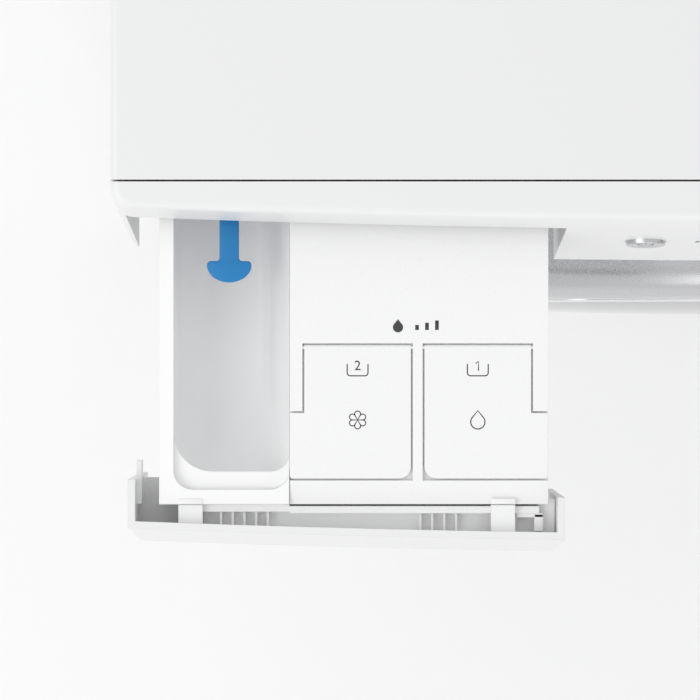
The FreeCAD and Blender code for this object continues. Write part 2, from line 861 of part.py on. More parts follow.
def build_plinth():
    """The strip under the front panel, the service flap in it and the pump filter's cap behind it."""
    flap_right = "(flap_left + flap_width)"
    flap_top = "(flap_bottom + flap_height)"
    strip = box((f"-{HALF}", HALF), ("0", "front_return"),
                ("base_height + sheet_metal", "plinth_height - panel_gap"))
    between = box((f"plinth_wall - {HALF}", f"{HALF} - plinth_wall"), ("plinth_wall", "2 * front_return"),
                  ("0", "plinth_height"))
    beside_pan = box((f"-{HALF} - 1", f"{HALF} + 1"), ("plinth_wall", "2 * front_return"),
                     ("0", "base_height + base_depth + panel_gap"))
    doorway = box(("flap_left", flap_right), ("-1", "2 * plinth_wall"), ("flap_bottom", flap_top))
    pin_y = "(plinth_wall + 1.5 * flap_pin_radius)"
    pin_z = "(flap_bottom + 4 * flap_pin_radius)"
    ears = []
    for low, high in (("flap_left - 3 * flap_pin_radius", "flap_left"),
                      (flap_right, f"{flap_right} + 3 * flap_pin_radius")):
        ears.append(box((low, high), ("plinth_wall / 2", f"{pin_y} + 1.6 * flap_pin_radius"),
                        (f"{pin_z} - 2 * flap_pin_radius", f"{pin_z} + 2 * flap_pin_radius")))
    sockets = rod("X", "flap_pin_radius + pin_clearance", "flap_left - 2 * flap_pin_radius",
                  f"{flap_right} + 2 * flap_pin_radius", pin_y, pin_z)
    part("plinth_panel", cut(fuse(cut(strip, between, beside_pan, doorway), *ears), sockets))

    plate = box(("flap_left + flap_gap", f"{flap_right} - flap_gap"), ("0", "plinth_wall"),
                ("flap_bottom + 2.5 * flap_pin_radius", f"{flap_top} - flap_gap"))
    pins = rod("X", "flap_pin_radius", "flap_left - 1.5 * flap_pin_radius",
               f"{flap_right} + 1.5 * flap_pin_radius", pin_y, pin_z)
    knuckles = [box((low, f"{low} + 4 * flap_pin_radius"),
                    ("plinth_wall / 2", f"{pin_y} + flap_pin_radius"),
                    (f"{pin_z} - flap_pin_radius", f"{pin_z} + flap_pin_radius"))
                for low in ("(flap_left + 2 * flap_gap)",
                            f"({flap_right} - 2 * flap_gap - 4 * flap_pin_radius)")]
    part("service_flap", fuse(plate, pins, *knuckles))

    cap_front = "(pump_front - 5 * plinth_wall)"
    knob = box(("filter_x - filter_radius * 0.8", "filter_x + filter_radius * 0.8"),
               (cap_front, f"{cap_front} + 3 * plinth_wall"),
               ("filter_height - plinth_wall", "filter_height + plinth_wall"))
    flange = rod("Y", "filter_flange", f"{cap_front} + 2.5 * plinth_wall", "pump_front - seat_gap",
                 "filter_x", "filter_height")
    plug = rod("Y", "filter_radius", f"{cap_front} + 4 * plinth_wall", "pump_front + 6 * plinth_wall",
               "filter_x", "filter_height")
    part("filter_cap", fuse(knob, flange, plug))


# ------------------------------------------------------------------------------------------- fascia
def fascia_outline(inset, z, back):
    """The fascia's outline at height z: a bowed front with round corners, all drawn in by the inset."""
    half = f"({HALF} - {inset})"
    corner = f"(fascia_corner - {inset})"
    corner_x = f"({HALF} - fascia_corner)"
    reach = "(fascia_bow - fascia_corner)"
    drop = f"sqrt({reach}^2 - {corner_x}^2)"
    corner_y = f"({fascia_y(z)} + fascia_bow - {drop})"
    touch_x = f"({corner_x} * (1 + {corner} / {reach}))"
    touch_y = f"({corner_y} - {corner} * {drop} / {reach})"
    return [(f"-{half}", back), (f"-{half}", corner_y, corner),
            (f"-{touch_x}", touch_y, f"(fascia_bow - {inset})"),
            (touch_x, touch_y, corner), (half, corner_y), (half, back)]


def fascia_solid(inset, low, high, back):
    """The bowed and leaning fascia as a solid, all its faces drawn in by the inset."""
    body = new_body("fascia_form")
    levels = [outline(body, "XY_Plane", fascia_outline(inset, z, back), z) for z in (high, low)]
    loft = body.newObject("PartDesign::AdditiveLoft", "leaning")
    loft.Profile = levels[0]
    loft.Sections = [levels[1]]
    loft.Ruled = True
    return body


def build_fascia():
    """The control fascia, the window in it, its electronics, and the drawer front cut from its form."""
    form = fascia_solid("0", FASCIA_LOW, "machine_height", "front_return")
    round_edges(form, "fascia_edge", lambda edge: edge.BoundBox.ZLength < TOLERANCE
                and near(edge.BoundBox.ZMin, "machine_height")
                and not near(edge.BoundBox.YMin, "front_return"))
    core = fascia_solid("fascia_wall", f"{FASCIA_LOW} + fascia_wall", "machine_height - fascia_wall",
                        "2 * front_return")
    wide = (f"-{HALF} - 1", f"{HALF} + 1")
    step = box(wide, ("seam_depth", "2 * front_return"), (SIDE_TOP, "machine_height + 1"))
    inner_step = box(wide, ("seam_depth - fascia_wall", "3 * front_return"),
                     (f"{SIDE_TOP} - fascia_wall", "machine_height + 1"))
    drawer_way = box((f"{DRAWER_LEFT} - drawer_gap", f"{DRAWER_RIGHT} + drawer_gap"),
                     ("-2 * fascia_reach", "drawer_left_return + drawer_gap"),
                     (f"{FASCIA_LOW} - 1", f"{DRAWER_TOP} + drawer_gap"))
    window_right = "(window_left + window_width)"
    window_low = "(control_height - window_height / 2)"
    window_high = "(control_height + window_height / 2)"
    window_way = box(("window_left", window_right), ("-2 * fascia_reach", "0"), (window_low, window_high))
    holes = [control_rod("knob_x", "knob_hub_radius + running_clearance"),
             control_rod("power_x", "power_radius + button_clearance"),
             control_rod("start_x", "start_radius + button_clearance")]
    shell = cut(cut(form, step), cut(core, inner_step))
    part("control_fascia", cut(shell, drawer_way, window_way, *holes))

    reach = ("-2 * fascia_reach", "0")
    pane = common(form, box(("window_left + window_gap", f"{window_right} - window_gap"), reach,
                            (f"{window_low} + window_gap", f"{window_high} - window_gap")))
    behind = fascia_solid("window_wall", f"{FASCIA_LOW} + window_wall", "machine_height - window_wall",
                          "front_return")
    part("display_window", cut(pane, behind))

    module = box(("power_x - 3 * power_radius", "start_x + 3 * start_radius"),
                 ("-fascia_reach / 4", "front_return"),
                 ("control_height - window_height", f"{SIDE_TOP} - fascia_wall - runner_gap"))
    part("control_module", module)
    build_drawer_front(form)
    build_controls()


def control_rod(x, radius):
    """A cylinder square to the fascia through the place of a control."""
    hole = doc.addObject("Part::Cylinder", "control_hole")
    bind(hole, "Radius", radius)
    bind(hole, "Height", "2 * fascia_reach")
    set_on_fascia(hole, x, "fascia_reach", 90)
    return hole


def set_on_fascia(obj, x, behind, turn):
    """Place an object whose axis, turned about X, leaves the fascia square at a control's height.

    The object's own origin goes behind the surface by the distance given.
    """
    surface = f"({fascia_y('control_height')} + {sag(x)})"
    obj.Placement.Rotation = FreeCAD.Rotation(FreeCAD.Vector(1, 0, 0), turn)
    bind(obj, ".Placement.Rotation.Angle", f"{turn} deg - {LEAN_ANGLE}")
    move(obj, x, f"{surface} + ({behind}) * cos({LEAN_ANGLE})",
         f"control_height - ({behind}) * sin({LEAN_ANGLE})")


def build_controls():
    """The programme knob and the two push buttons, each turned about its own axis."""
    knob = spin("knob", [("-knob_depth", "0"), ("-knob_depth", "knob_radius - knob_taper"),
                         ("-knob_standoff", "knob_radius"),
                         ("-knob_standoff", "knob_hub_radius"), ("3 * fascia_wall", "knob_hub_radius"),
                         ("3 * fascia_wall", "0")])
    set_on_fascia(knob, "knob_x", "0", 360)
    part("programme_knob", knob)
    for label, x, radius in (("power_button", "power_x", "power_radius"),
                             ("start_button", "start_x", "start_radius")):
        cap = spin(label, [("-button_proud", "0"), ("-button_proud", radius), ("button_depth", radius),
                           ("button_depth", "0")])
        set_on_fascia(cap, x, "0", 360)
        part(label, cap)


def build_drawer_front(form):
    """The drawer's front: a piece of the fascia's form with two returns, a shelf and a guiding hook."""
    past = "2 * fascia_reach"
    inner_left = f"({DRAWER_LEFT} + drawer_wall)"
    inner_right = f"({DRAWER_RIGHT} - drawer_wall)"
    outer = common(form, box((DRAWER_LEFT, DRAWER_RIGHT), (f"-{past}", "drawer_left_return"),
                             (DRAWER_LOW, DRAWER_TOP)))
    core = fascia_solid("drawer_wall", f"{FASCIA_LOW} - fascia_wall", "machine_height", past)
    upper = common(core, box((inner_left, inner_right), (f"-{past}", past), (SHELF_TOP, "machine_height")))
    lower = common(core, box((inner_left, inner_right), (f"-{past}", past),
                             (f"{FASCIA_LOW} - 1", f"{SHELF_TOP} - drawer_shelf_wall")))
    behind_right = box((f"{inner_right} - 1", f"{DRAWER_RIGHT} + 1"), ("drawer_right_return", past),
                       ("0", "machine_height"))
    tray_way = box((f"{TRAY_LEFT} - housing_clearance", f"{inner_right} + seat_gap"),
                   ("tray_front - 2 * seat_gap", past),
                   ("0", "machine_height"))
    hook = box((f"{inner_left} - 0.1", f"{inner_left} + hook_thickness"), ("tray_front", "hook_reach"),
               (f"{SHELF_TOP} + 2 * drawer_shelf_wall", f"{DRAWER_TOP} - 4 * drawer_wall"))
    shell = cut(outer, upper, lower, behind_right, tray_way)
    part("drawer_front", fuse(shell, hook), "-drawer_travel")
    build_carrier()


def build_carrier():
    """The ribbed strip with two tongues that clips the drawer front to the tray."""
    core = fascia_solid("(drawer_wall + seat_gap)", f"{FASCIA_LOW} - fascia_wall", "machine_height",
                        "front_return")
    back = "(tray_front - seat_gap)"
    gap_back = f"({back} - carrier_gap)"
    low = f"({TRAY_TOP} - carrier_drop)"
    left = f"({TRAY_LEFT} + carrier_left)"
    right = f"({TRAY_RIGHT} - carrier_right)"
    pieces = []
    for start, stop, rear in ((left, POCKET_RIGHT, back), (POCKET_RIGHT, right, gap_back)):
        pieces.append(box((start, stop), ("-fascia_reach", rear), (low, f"{low} + carrier_floor")))
        pieces.append(box((start, stop), (f"{rear} - carrier_wall", rear),
                          (low, f"{TRAY_TOP} - carrier_band_drop")))
    ribs = ((f"({TRAY_LEFT} + rib_left)", "left_rib_pitch", LEFT_RIBS),
            (f"({TRAY_RIGHT} - rib_right)", "right_rib_pitch", RIGHT_RIBS))
    for start, pitch, count in ribs:
        for step in range(count):
            x = f"({start} + {step} * {pitch})"
            pieces.append(box((x, f"{x} + rib_width"), ("-fascia_reach", gap_back),
                              (low, f"{low} + rib_height")))
    for x in (f"({TRAY_LEFT} + tongue_left)", f"({TRAY_RIGHT} - tongue_right)"):
        across = (x, f"{x} + tongue_width")
        tongue_top = f"({TRAY_TOP} - tongue_drop)"
        pieces.append(box(across, ("-fascia_reach", back), (f"{tongue_top} - carrier_floor", tongue_top)))
        pieces.append(box(across, (f"{back} - carrier_wall", back), (low, tongue_top)))
    lug = box((f"{TRAY_LEFT} + tongue_left", f"{left} + rib_left / 4"), (f"{back} - carrier_wall", back),
              (low, f"{low} + carrier_lug"))
    part("drawer_carrier", common(fuse(*pieces, lug), core), "-drawer_travel")


# ------------------------------------------------------------------------------------------- drawer
def build_drawer():
    """The tray with its powder pocket and two tanks, the cover over the tanks, its lids and the tab."""
    shift = "-drawer_travel"
    whole = box((TRAY_LEFT, TRAY_RIGHT), ("tray_front", TRAY_BACK), (TRAY_LOW, TRAY_TOP))
    floor = f"({TRAY_TOP} - pocket_depth)"
    wall = f"({POCKET_FRONT} + ledge_width)"
    pocket = prism("pocket", "YZ_Plane",
                   [(POCKET_BACK, f"{TRAY_TOP} + 1"), (wall, f"{TRAY_TOP} + 1"),
                    (wall, f"{floor} + pocket_scoop", "pocket_scoop"), (f"{wall} + pocket_scoop", floor),
                    (POCKET_BACK, floor)],
                   POCKET_LEFT, POCKET_RIGHT)
    slope_pocket(pocket)
    ledge = prism("ledge", "XY_Plane",
                  [(POCKET_LEFT, POCKET_FRONT), (POCKET_RIGHT, POCKET_FRONT),
                   (POCKET_RIGHT, f"{POCKET_FRONT} + 3 * ledge_width"),
                   (POCKET_LEFT, f"{POCKET_FRONT} + 3 * ledge_width")],
                  f"{TRAY_TOP} - ledge_depth", f"{TRAY_TOP} + 1")
    round_edges(ledge, "ledge_round", lambda edge: upright(edge, y=POCKET_FRONT))
    tank_y = ("tray_front + tray_wall", f"{TRAY_BACK} - tray_wall")
    tank_z = (f"{TRAY_LOW} + tray_wall", "machine_height")
    tanks = [box((TANK_LEFT, f"{TANK_MIDDLE} - tray_wall / 2"), tank_y, tank_z),
             box((f"{TANK_MIDDLE} + tray_wall / 2", TANK_RIGHT), tank_y, tank_z)]
    rear_well = box((f"{TRAY_LEFT} + tray_wall", f"{POCKET_RIGHT} - tray_wall"),
                    (f"{TAB_AXIS_Y} + 3 * tray_wall", tank_y[1]), tank_z)
    under = box((f"{TRAY_LEFT} + tray_wall", POCKET_RIGHT),
                ("tray_front + tray_wall", f"{TAB_AXIS_Y} + tray_wall"),
                (f"{TRAY_LOW} - 1", f"{floor} - tray_wall"))
    cover_seat = box((POCKET_RIGHT, f"{TRAY_RIGHT} + 1"), ("tray_front - 1", f"{TRAY_BACK} + 1"),
                     (f"{COVER_LOW} - seat_gap", "machine_height"))
    tab_well = box((f"{tab_middle()} - tab_stem_width", f"{tab_middle()} + tab_stem_width"),
                   (f"{POCKET_BACK} - 1", f"{TAB_AXIS_Y} + tray_wall"),
                   (f"{TRAY_TOP} - 4 * tab_drop", "machine_height"))
    sockets = rod("X", "tab_pin_radius + pin_clearance",
                  f"{tab_middle()} - tab_stem_width - 2 * tab_pin_radius",
                  f"{tab_middle()} + tab_stem_width + 2 * tab_pin_radius", TAB_AXIS_Y, TAB_AXIS_Z)
    part("drawer_tray", cut(whole, pocket, ledge, *tanks, rear_well, under, cover_seat, tab_well, sockets),
         shift)
    build_cover(shift)
    build_tab(shift)
    build_housing()


def slope_pocket(pocket):
    """Lean the pocket's right wall outwards to its top and round the bottoms of both side walls."""
    floor = f"({TRAY_TOP} - pocket_depth)"
    wedge = outline(pocket, "XZ_Plane", [
        (f"{POCKET_RIGHT} - pocket_lean", floor), (POCKET_RIGHT, f"{TRAY_TOP} - ledge_depth"),
        (f"{POCKET_RIGHT} + cut_margin", f"{TRAY_TOP} - ledge_depth"),
        (f"{POCKET_RIGHT} + cut_margin", f"{floor} - cut_margin"),
        (f"{POCKET_RIGHT} - pocket_lean", f"{floor} - cut_margin")], f"-({POCKET_FRONT})")
    slope = pocket.newObject("PartDesign::Pocket", "leaning_wall")
    slope.Profile = wedge
    bind(slope, "Length", "2 * pocket_length")
    start = f"({TRAY_TOP} - ledge_depth)"
    round_edges(pocket, "pocket_left_round", lambda edge: on_side(edge, POCKET_LEFT, start))
    round_edges(pocket, "pocket_right_round", lambda edge: below_rim(edge, start)
                and edge.BoundBox.XMin > number(f"{POCKET_LEFT} + 0.5 * pocket_width")
                and edge.BoundBox.ZMin < number(f"{floor} + 1"))


def below_rim(edge, top):
    """Whether an edge lies at the pocket's floor or on its scoop."""
    limits = edge.BoundBox
    runs_back = limits.YLength > LEAST_RUN
    return runs_back and limits.ZMin < number(top) and limits.ZMax < number(f"{TRAY_TOP}")


def on_side(edge, x, top):
    """Whether an edge lies in the pocket's side wall at x, at the floor or on the scoop."""
    return near(edge.BoundBox.XMax, x) and near(edge.BoundBox.XMin, x) and below_rim(edge, top)


def tab_middle():
    """The middle of the release tab, across the machine."""
    return f"({POCKET_LEFT} + pocket_width / 2)"


def lid_corners(left, right, outer, wing_on_left, grow):
    """The outline of a lid with a wing on its outer front corner, grown outwards by a gap."""
    front = f"({LID_FRONT} - {grow})"
    step = f"({LID_FRONT} + lid_wing_length + {grow})"
    back = f"({LID_AXIS_Y} + {grow} * 0)"
    if wing_on_left:
        return [(f"{outer} - {grow}", front), (f"{right} + {grow}", front), (f"{right} + {grow}", back),
                (f"{left} - {grow}", back), (f"{left} - {grow}", step), (f"{outer} - {grow}", step)]
    return [(f"{left} - {grow}", front), (f"{outer} + {grow}", front), (f"{outer} + {grow}", step),
            (f"{right} + {grow}", step), (f"{right} + {grow}", back), (f"{left} - {grow}", back)]


def build_cover(shift):
    """The cover over the two tanks, sloping at its front, with a seat, mouth and hinge for each lid."""
    cover = prism("cover", "YZ_Plane",
                  [("tray_front", COVER_LOW), (TRAY_BACK, COVER_LOW), (TRAY_BACK, TRAY_TOP),
                   (f"{LID_FRONT} - lid_gap", TRAY_TOP), ("tray_front", f"{TRAY_TOP} - cover_slope_depth")],
                  COVER_LEFT, TRAY_RIGHT)
    seats = []
    softener_left = f"({COVER_LEFT} + lid_inset)"
    detergent_left = f"({softener_left} + lid_pitch)"
    lids = (("softener_lid", softener_left, COVER_LEFT, True),
            ("detergent_lid", detergent_left, f"({TRAY_RIGHT} - seat_gap)", False))
    for label, left, outer, wing_on_left in lids:
        right = f"({left} + lid_width)"
        plate = prism("lid_plate", "XY_Plane", lid_corners(left, right, outer, wing_on_left, "0"),
                      f"{TRAY_TOP} - lid_thickness", TRAY_TOP)
        inner = right if wing_on_left else left
        round_edges(plate, "lid_round", lambda edge, x=inner: upright(edge, x, LID_FRONT))
        round_edges(plate, "lid_small_round", lambda edge, x=outer: upright(edge, x, LID_FRONT))
        barrel = rod("X", "lid_thickness / 2", left, right, LID_AXIS_Y, LID_AXIS_Z)
        pins = rod("X", "lid_pin_radius", f"{left} - lid_gap - lid_pin_length",
                   f"{right} + lid_gap + lid_pin_length",
                   LID_AXIS_Y, LID_AXIS_Z)
        part(label, fuse(plate, barrel, pins), shift)
        seat = prism("seat", "XY_Plane", lid_corners(left, right, outer, wing_on_left, "lid_gap"),
                     f"{TRAY_TOP} - lid_thickness - seat_gap", f"{TRAY_TOP} + 1")
        hinge_well = box((f"{left} - lid_gap", f"{right} + lid_gap"),
                         (f"{LID_AXIS_Y} - lid_thickness", f"{LID_AXIS_Y} + 1.5 * lid_thickness / 2"),
                         (f"{TRAY_TOP} - lid_thickness - seat_gap", f"{TRAY_TOP} + 1"))
        sockets = rod("X", "lid_pin_radius + pin_clearance", f"{left} - lid_gap - 1.2 * lid_pin_length",
                      f"{right} + lid_gap + 1.2 * lid_pin_length", LID_AXIS_Y, LID_AXIS_Z)
        mouth = box((f"{left} + mouth_margin", f"{right} - mouth_margin"),
                    (f"{LID_FRONT} + mouth_margin", f"{LID_AXIS_Y} - 1.5 * mouth_margin"),
                    (f"{COVER_LOW} - 1", f"{TRAY_TOP} + 1"))
        seats += [seat, hinge_well, sockets, mouth]
    part("tank_cover", cut(cover, *seats), shift)


def build_tab(shift):
    """The blue release tab: a stem with a mushroom head, on a pin behind the powder pocket."""
    middle = tab_middle()
    tip = f"({TAB_AXIS_Y} - tab_reach)"
    neck = f"({tip} + tab_head_length)"
    stem_half = "tab_stem_width / 2"
    head_half = "tab_head_width / 2"
    levels = (f"{TAB_AXIS_Z} - tab_thickness / 2", f"{TAB_AXIS_Z} + tab_thickness / 2")
    head = prism("tab_head", "XY_Plane",
                 [(f"{middle} - {head_half}", neck),
                  (f"{middle} - {head_half}", f"{tip} + tab_shoulder_rise",
                   "tab_head_width * tab_shoulder_share"),
                  (f"{middle}", tip, "tab_head_width * tab_shoulder_share"),
                  (f"{middle} + {head_half}", f"{tip} + tab_shoulder_rise"),
                  (f"{middle} + {head_half}", neck)], *levels)
    stem = box((f"{middle} - {stem_half}", f"{middle} + {stem_half}"), (f"{neck} - 1", TAB_AXIS_Y), levels)
    barrel = rod("X", "tab_pin_radius + 0.5", f"{middle} - {stem_half}", f"{middle} + {stem_half}",
                 TAB_AXIS_Y, TAB_AXIS_Z)
    pins = rod("X", "tab_pin_radius", f"{middle} - tab_stem_width - tab_pin_radius",
               f"{middle} + tab_stem_width + tab_pin_radius",
               TAB_AXIS_Y, TAB_AXIS_Z)
    part("release_tab", fuse(head, stem, barrel, pins), shift)


def build_housing():
    """The drawer's housing with a flange behind the fascia, runners under the tray and an outlet."""
    inner_x = (f"{TRAY_LEFT} - housing_clearance", f"{TRAY_RIGHT} + housing_clearance")
    inner_z = (f"{TRAY_LOW} - housing_clearance", f"{TRAY_TOP} + housing_clearance")
    outer_x = (f"{inner_x[0]} - housing_wall", f"{inner_x[1]} + housing_wall")
    outer_z = (f"{inner_z[0]} - housing_wall", f"{inner_z[1]} + housing_wall")
    back = f"({TRAY_BACK} + 2 * housing_clearance + housing_wall)"
    shell = box(outer_x, ("housing_mouth", back), outer_z)
    flange = box((f"fascia_wall + panel_gap - {HALF}", f"{DRAWER_RIGHT} + 3 * fascia_wall"),
                 ("housing_mouth", "housing_mouth + housing_wall"),
                 (f"{FASCIA_LOW} + fascia_wall + panel_gap", f"{SIDE_TOP} - fascia_wall - panel_gap"))
    spout = rod("Z", "fill_radius", f"{outer_z[0]} - fill_radius", f"{inner_z[0]}", "fill_x", "fill_y")
    hollow = box(inner_x, ("housing_mouth - 1", f"{back} - housing_wall"), inner_z)
    bore = rod("Z", "fill_radius - housing_wall", f"{outer_z[0]} - 2 * fill_radius", f"{inner_z[0]} + 1",
               "fill_x", "fill_y")
    runners = []
    for x in (f"({TRAY_LEFT} + runner_width)", f"({TRAY_RIGHT} - 2 * runner_width)"):
        runners.append(box((x, f"{x} + runner_width"), ("housing_mouth", f"{back} - 1"),
                           (f"{inner_z[0]} - 1", f"{TRAY_LOW} - runner_gap")))
    part("drawer_housing", fuse(cut(fuse(shell, flange, spout), hollow, bore), *runners))

    pumps = []
    for x in (f"({TRAY_RIGHT} - dosing_pump_left)", f"({TRAY_RIGHT} - dosing_pump_right)"):
        case = box((f"{x} - dosing_pump_half", f"{x} + dosing_pump_half"),
                   (f"{back} + seat_gap", f"{back} + dosing_pump_depth"),
                   (f"{TRAY_LOW} + dosing_pump_rise", f"{TRAY_TOP} - dosing_pump_drop"))
        drive = rod("Y", "dosing_drive_radius", f"{back} + dosing_drive_start",
                    f"{back} + dosing_drive_end", x, f"{TRAY_LOW} + dosing_drive_rise")
        pumps.append(fuse(case, drive))
    part("dosing_pumps", group(*pumps))
    build_water(back)


def build_water(housing_back):
    """The inlet valve with its pipe to the housing, the fill hose, and the mains inlet's gland."""
    face = "(cabinet_depth + inlet_reach)"
    thread = ring("thread", "inlet_bore", "inlet_radius", f"{REAR_INNER} - 4 * sheet_metal", face,
                  "inlet_x", "inlet_height")
    case = box(("inlet_x - valve_half", "inlet_x + valve_half"),
               (f"{REAR_INNER} - valve_reach", f"{REAR_INNER} - 3 * sheet_metal"),
               ("inlet_height - valve_rise", "inlet_height + valve_rise"))
    pipe = rod("Y", "valve_pipe_radius", f"{housing_back} + seat_gap", f"{REAR_INNER} - valve_pipe_end",
               "inlet_x", "inlet_height")
    flange = rod("Y", "inlet_radius + valve_flange_lip", f"{REAR_INNER} - 4 * sheet_metal",
                 f"{REAR_INNER} - seat_gap", "inlet_x", "inlet_height")
    bore = rod("Y", "inlet_bore", f"{REAR_INNER} - 8 * sheet_metal", f"{face} + 1", "inlet_x",
               "inlet_height")
    part("inlet_valve", cut(fuse(case, pipe, flange, thread), bore))
    part("mains_inlet", spin("gland", [
        (f"{REAR_INNER} - gland_back", "0"), (f"{REAR_INNER} - gland_back",
                                              "gland_radius - button_clearance"),
        ("cabinet_depth + seat_gap", "gland_radius - button_clearance"),
        ("cabinet_depth + seat_gap", "gland_radius + gland_lip"),
        ("cabinet_depth + gland_step", "gland_radius + gland_bevel"),
        ("cabinet_depth + gland_reach", "gland_radius - gland_bevel"),
        ("cabinet_depth + gland_reach", "0")],
        "gland_x", "inlet_height"))
    top = f"({TRAY_LOW} - housing_clearance - housing_wall - 1)"
    outer = rod("Z", "fill_radius + thread_clearance + hose_wall", "fill_low", top, "fill_x", "fill_y")
    inner = rod("Z", "fill_radius + thread_clearance", "fill_low - 1", f"{top} + 1", "fill_x", "fill_y")
    part("tub_inlet_hose", cut(outer, inner))


# --------------------------------------------------------------------------------- tub, drum, drive
def build_tub():
    """The tub's two halves, the weights on it, its heater, and the dampers and springs that hold it."""
    inner = "(tub_radius - tub_wall)"
    split = "(tub_split - seat_gap)"
    neck_front = "(tub_front - tub_neck_length)"
    shell = spin("tub_front_shell", [
        (neck_front, "tub_neck_radius - tub_wall"), (neck_front, "tub_neck_radius"),
        ("tub_front", "tub_neck_radius"),
        ("tub_front", "tub_radius"), (split, "tub_radius"), (split, inner), ("tub_front + tub_wall", inner),
        ("tub_front + tub_wall", "tub_neck_radius - tub_wall")])
    lugs = [damper_lug(side, "damper_front") for side in ("-1", "1")]
    nozzle = rod("Z", "sump_radius", "-tub_radius - sump_drop", "sump_rise - tub_radius", "sump_x",
                 "sump_y")
    nozzle_bore = rod("Z", "sump_radius - tub_wall", "-2 * tub_radius", "sump_bore_rise - tub_radius",
                      "sump_x", "sump_y")
    clear = rod("Y", inner, "tub_front + tub_wall", "tub_split + shell_overlap", "0", "0")
    part("tub_front", cut(fuse(shell, *lugs, nozzle), clear, nozzle_bore), z="porthole_height")

    hub_back = "(tub_back + hub_length)"
    front_seat = "(tub_back + tub_neck_length / 2 + bearing_width)"
    rear_seat = f"({hub_back} - rear_bearing_width - sheet_metal)"
    shell = spin("tub_rear_shell", [
        ("tub_split", inner), ("tub_split", "tub_radius"), ("tub_back", "tub_radius"),
        ("tub_back", "hub_radius"),
        (hub_back, "hub_radius"), (hub_back, "rear_bearing_radius"), (rear_seat, "rear_bearing_radius"),
        (rear_seat, "shaft_radius + hub_room"), (front_seat, "shaft_radius + hub_room"),
        (front_seat, "bearing_radius"),
        ("tub_back - tub_wall", "bearing_radius"), ("tub_back - tub_wall", inner)])
    spring_lugs = [box(sorted((f"{side} * (spring_x - spring_lug_reach)",
                               f"{side} * (spring_x + spring_radius)"), key=number),
                       ("spring_y - spring_radius", "spring_y + spring_radius"),
                       ("spring_lug - spring_lug_height", "spring_lug"))
                   for side in ("-1", "1")]
    motor_lug = box(("motor_x - motor_lug_left", "motor_x - motor_lug_right"),
                    ("motor_front + motor_lug_start", "motor_front + motor_lug_end"),
                    ("motor_radius - motor_drop - motor_lug_bite", "motor_lug_top - motor_drop"))
    motor_way = rod("Y", "motor_radius + seat_gap", "motor_front - 1", f"{MOTOR_BACK} + 1", "motor_x",
                    "-motor_drop")
    fill_low_end = "(fill_low - porthole_height - fill_foot)"
    fill = rod("Z", "fill_radius", fill_low_end, "fill_low + fill_overlap - porthole_height", "fill_x",
               "fill_y")
    fill_bore = rod("Z", "fill_radius - tub_wall", f"{fill_low_end} - 1",
                    "fill_low + 2 * fill_overlap - porthole_height", "fill_x", "fill_y")
    rear_lug = damper_lug("-1", "damper_rear")
    clear = rod("Y", inner, "tub_split - shell_overlap", "tub_back - tub_wall", "0", "0")
    heater_holes = [rod("Y", "heater_radius + running_clearance", "tub_back - 2 * tub_wall",
                        "tub_back + tub_wall", x, HEATER_Z)
                    for x in ("-heater_spread", "heater_spread")]
    part("tub_rear", cut(fuse(shell, *spring_lugs, motor_lug, fill, rear_lug), clear, motor_way, fill_bore,
                         *heater_holes),
         z="porthole_height")
    build_weights()
    build_dampers()
    build_drive(front_seat, rear_seat)


HEATER_Z = "(tub_wall + 3 * heater_radius - tub_radius)"


def damper_lug(side, y):
    """A lug under the tub that a damper's rod is fixed to."""
    x = f"({side} * damper_x)"
    return box((f"{x} - damper_lug_wide", f"{x} + damper_lug_wide"),
               (f"{y} - damper_lug_deep", f"{y} + damper_lug_deep"),
               ("-damper_lug_drop", "damper_lug_root - damper_lug_drop"))


def build_weights():
    """The ring weight on the tub's front, the block weight on its top, and the heater in its bottom."""
    back = "(weight_front + weight_thickness)"
    whole = ring("weight", "weight_inner", "weight_outer", "weight_front", back)
    gap = box(("-weight_gap", "weight_gap"), ("weight_front - 1", f"{back} + 1"),
              ("-2 * weight_outer", "0"))
    pegs = [rod("Y", "weight_peg_radius", f"{back} - weight_peg_seat", "tub_front - seat_gap", x, z)
            for x, z in (("-weight_outer + weight_peg_inset", "0"),
                         ("weight_outer - weight_peg_inset", "0"),
                         ("0", "weight_outer - weight_peg_inset"))]
    part("front_counterweight", fuse(cut(whole, gap), *pegs), z="porthole_height")
    block = box(("-block_left", "block_right"), ("tub_front + block_front", "tub_split + block_back"),
                ("block_low", "tub_radius + block_rise"))
    part("top_counterweight", cut(block, rod("Y", "tub_radius + seat_gap", "0", "tub_back", "0", "0")),
         z="porthole_height")
    front = "(tub_back - heater_length)"
    legs = [rod("Y", "heater_radius", front, "tub_back + heater_tail", x, HEATER_Z)
            for x in ("-heater_spread", "heater_spread")]
    bridge = rod("X", "heater_radius", "-heater_spread", "heater_spread", front, HEATER_Z)
    ends = [rounded_end(x, front, HEATER_Z) for x in ("-heater_spread", "heater_spread")]
    plate = box(("-heater_spread - heater_plate_margin", "heater_spread + heater_plate_margin"),
                ("tub_back + seat_gap", "tub_back + heater_plate"),
                (f"{HEATER_Z} - heater_plate_drop", f"{HEATER_Z} + heater_plate_rise"))
    part("heating_element", fuse(*legs, bridge, *ends, plate), z="porthole_height")


def rounded_end(x, y, z):
    """A ball that rounds a corner of the heating element."""
    ball = doc.addObject("Part::Sphere", "ball")
    bind(ball, "Radius", "heater_radius")
    move(ball, x, y, z)
    return ball


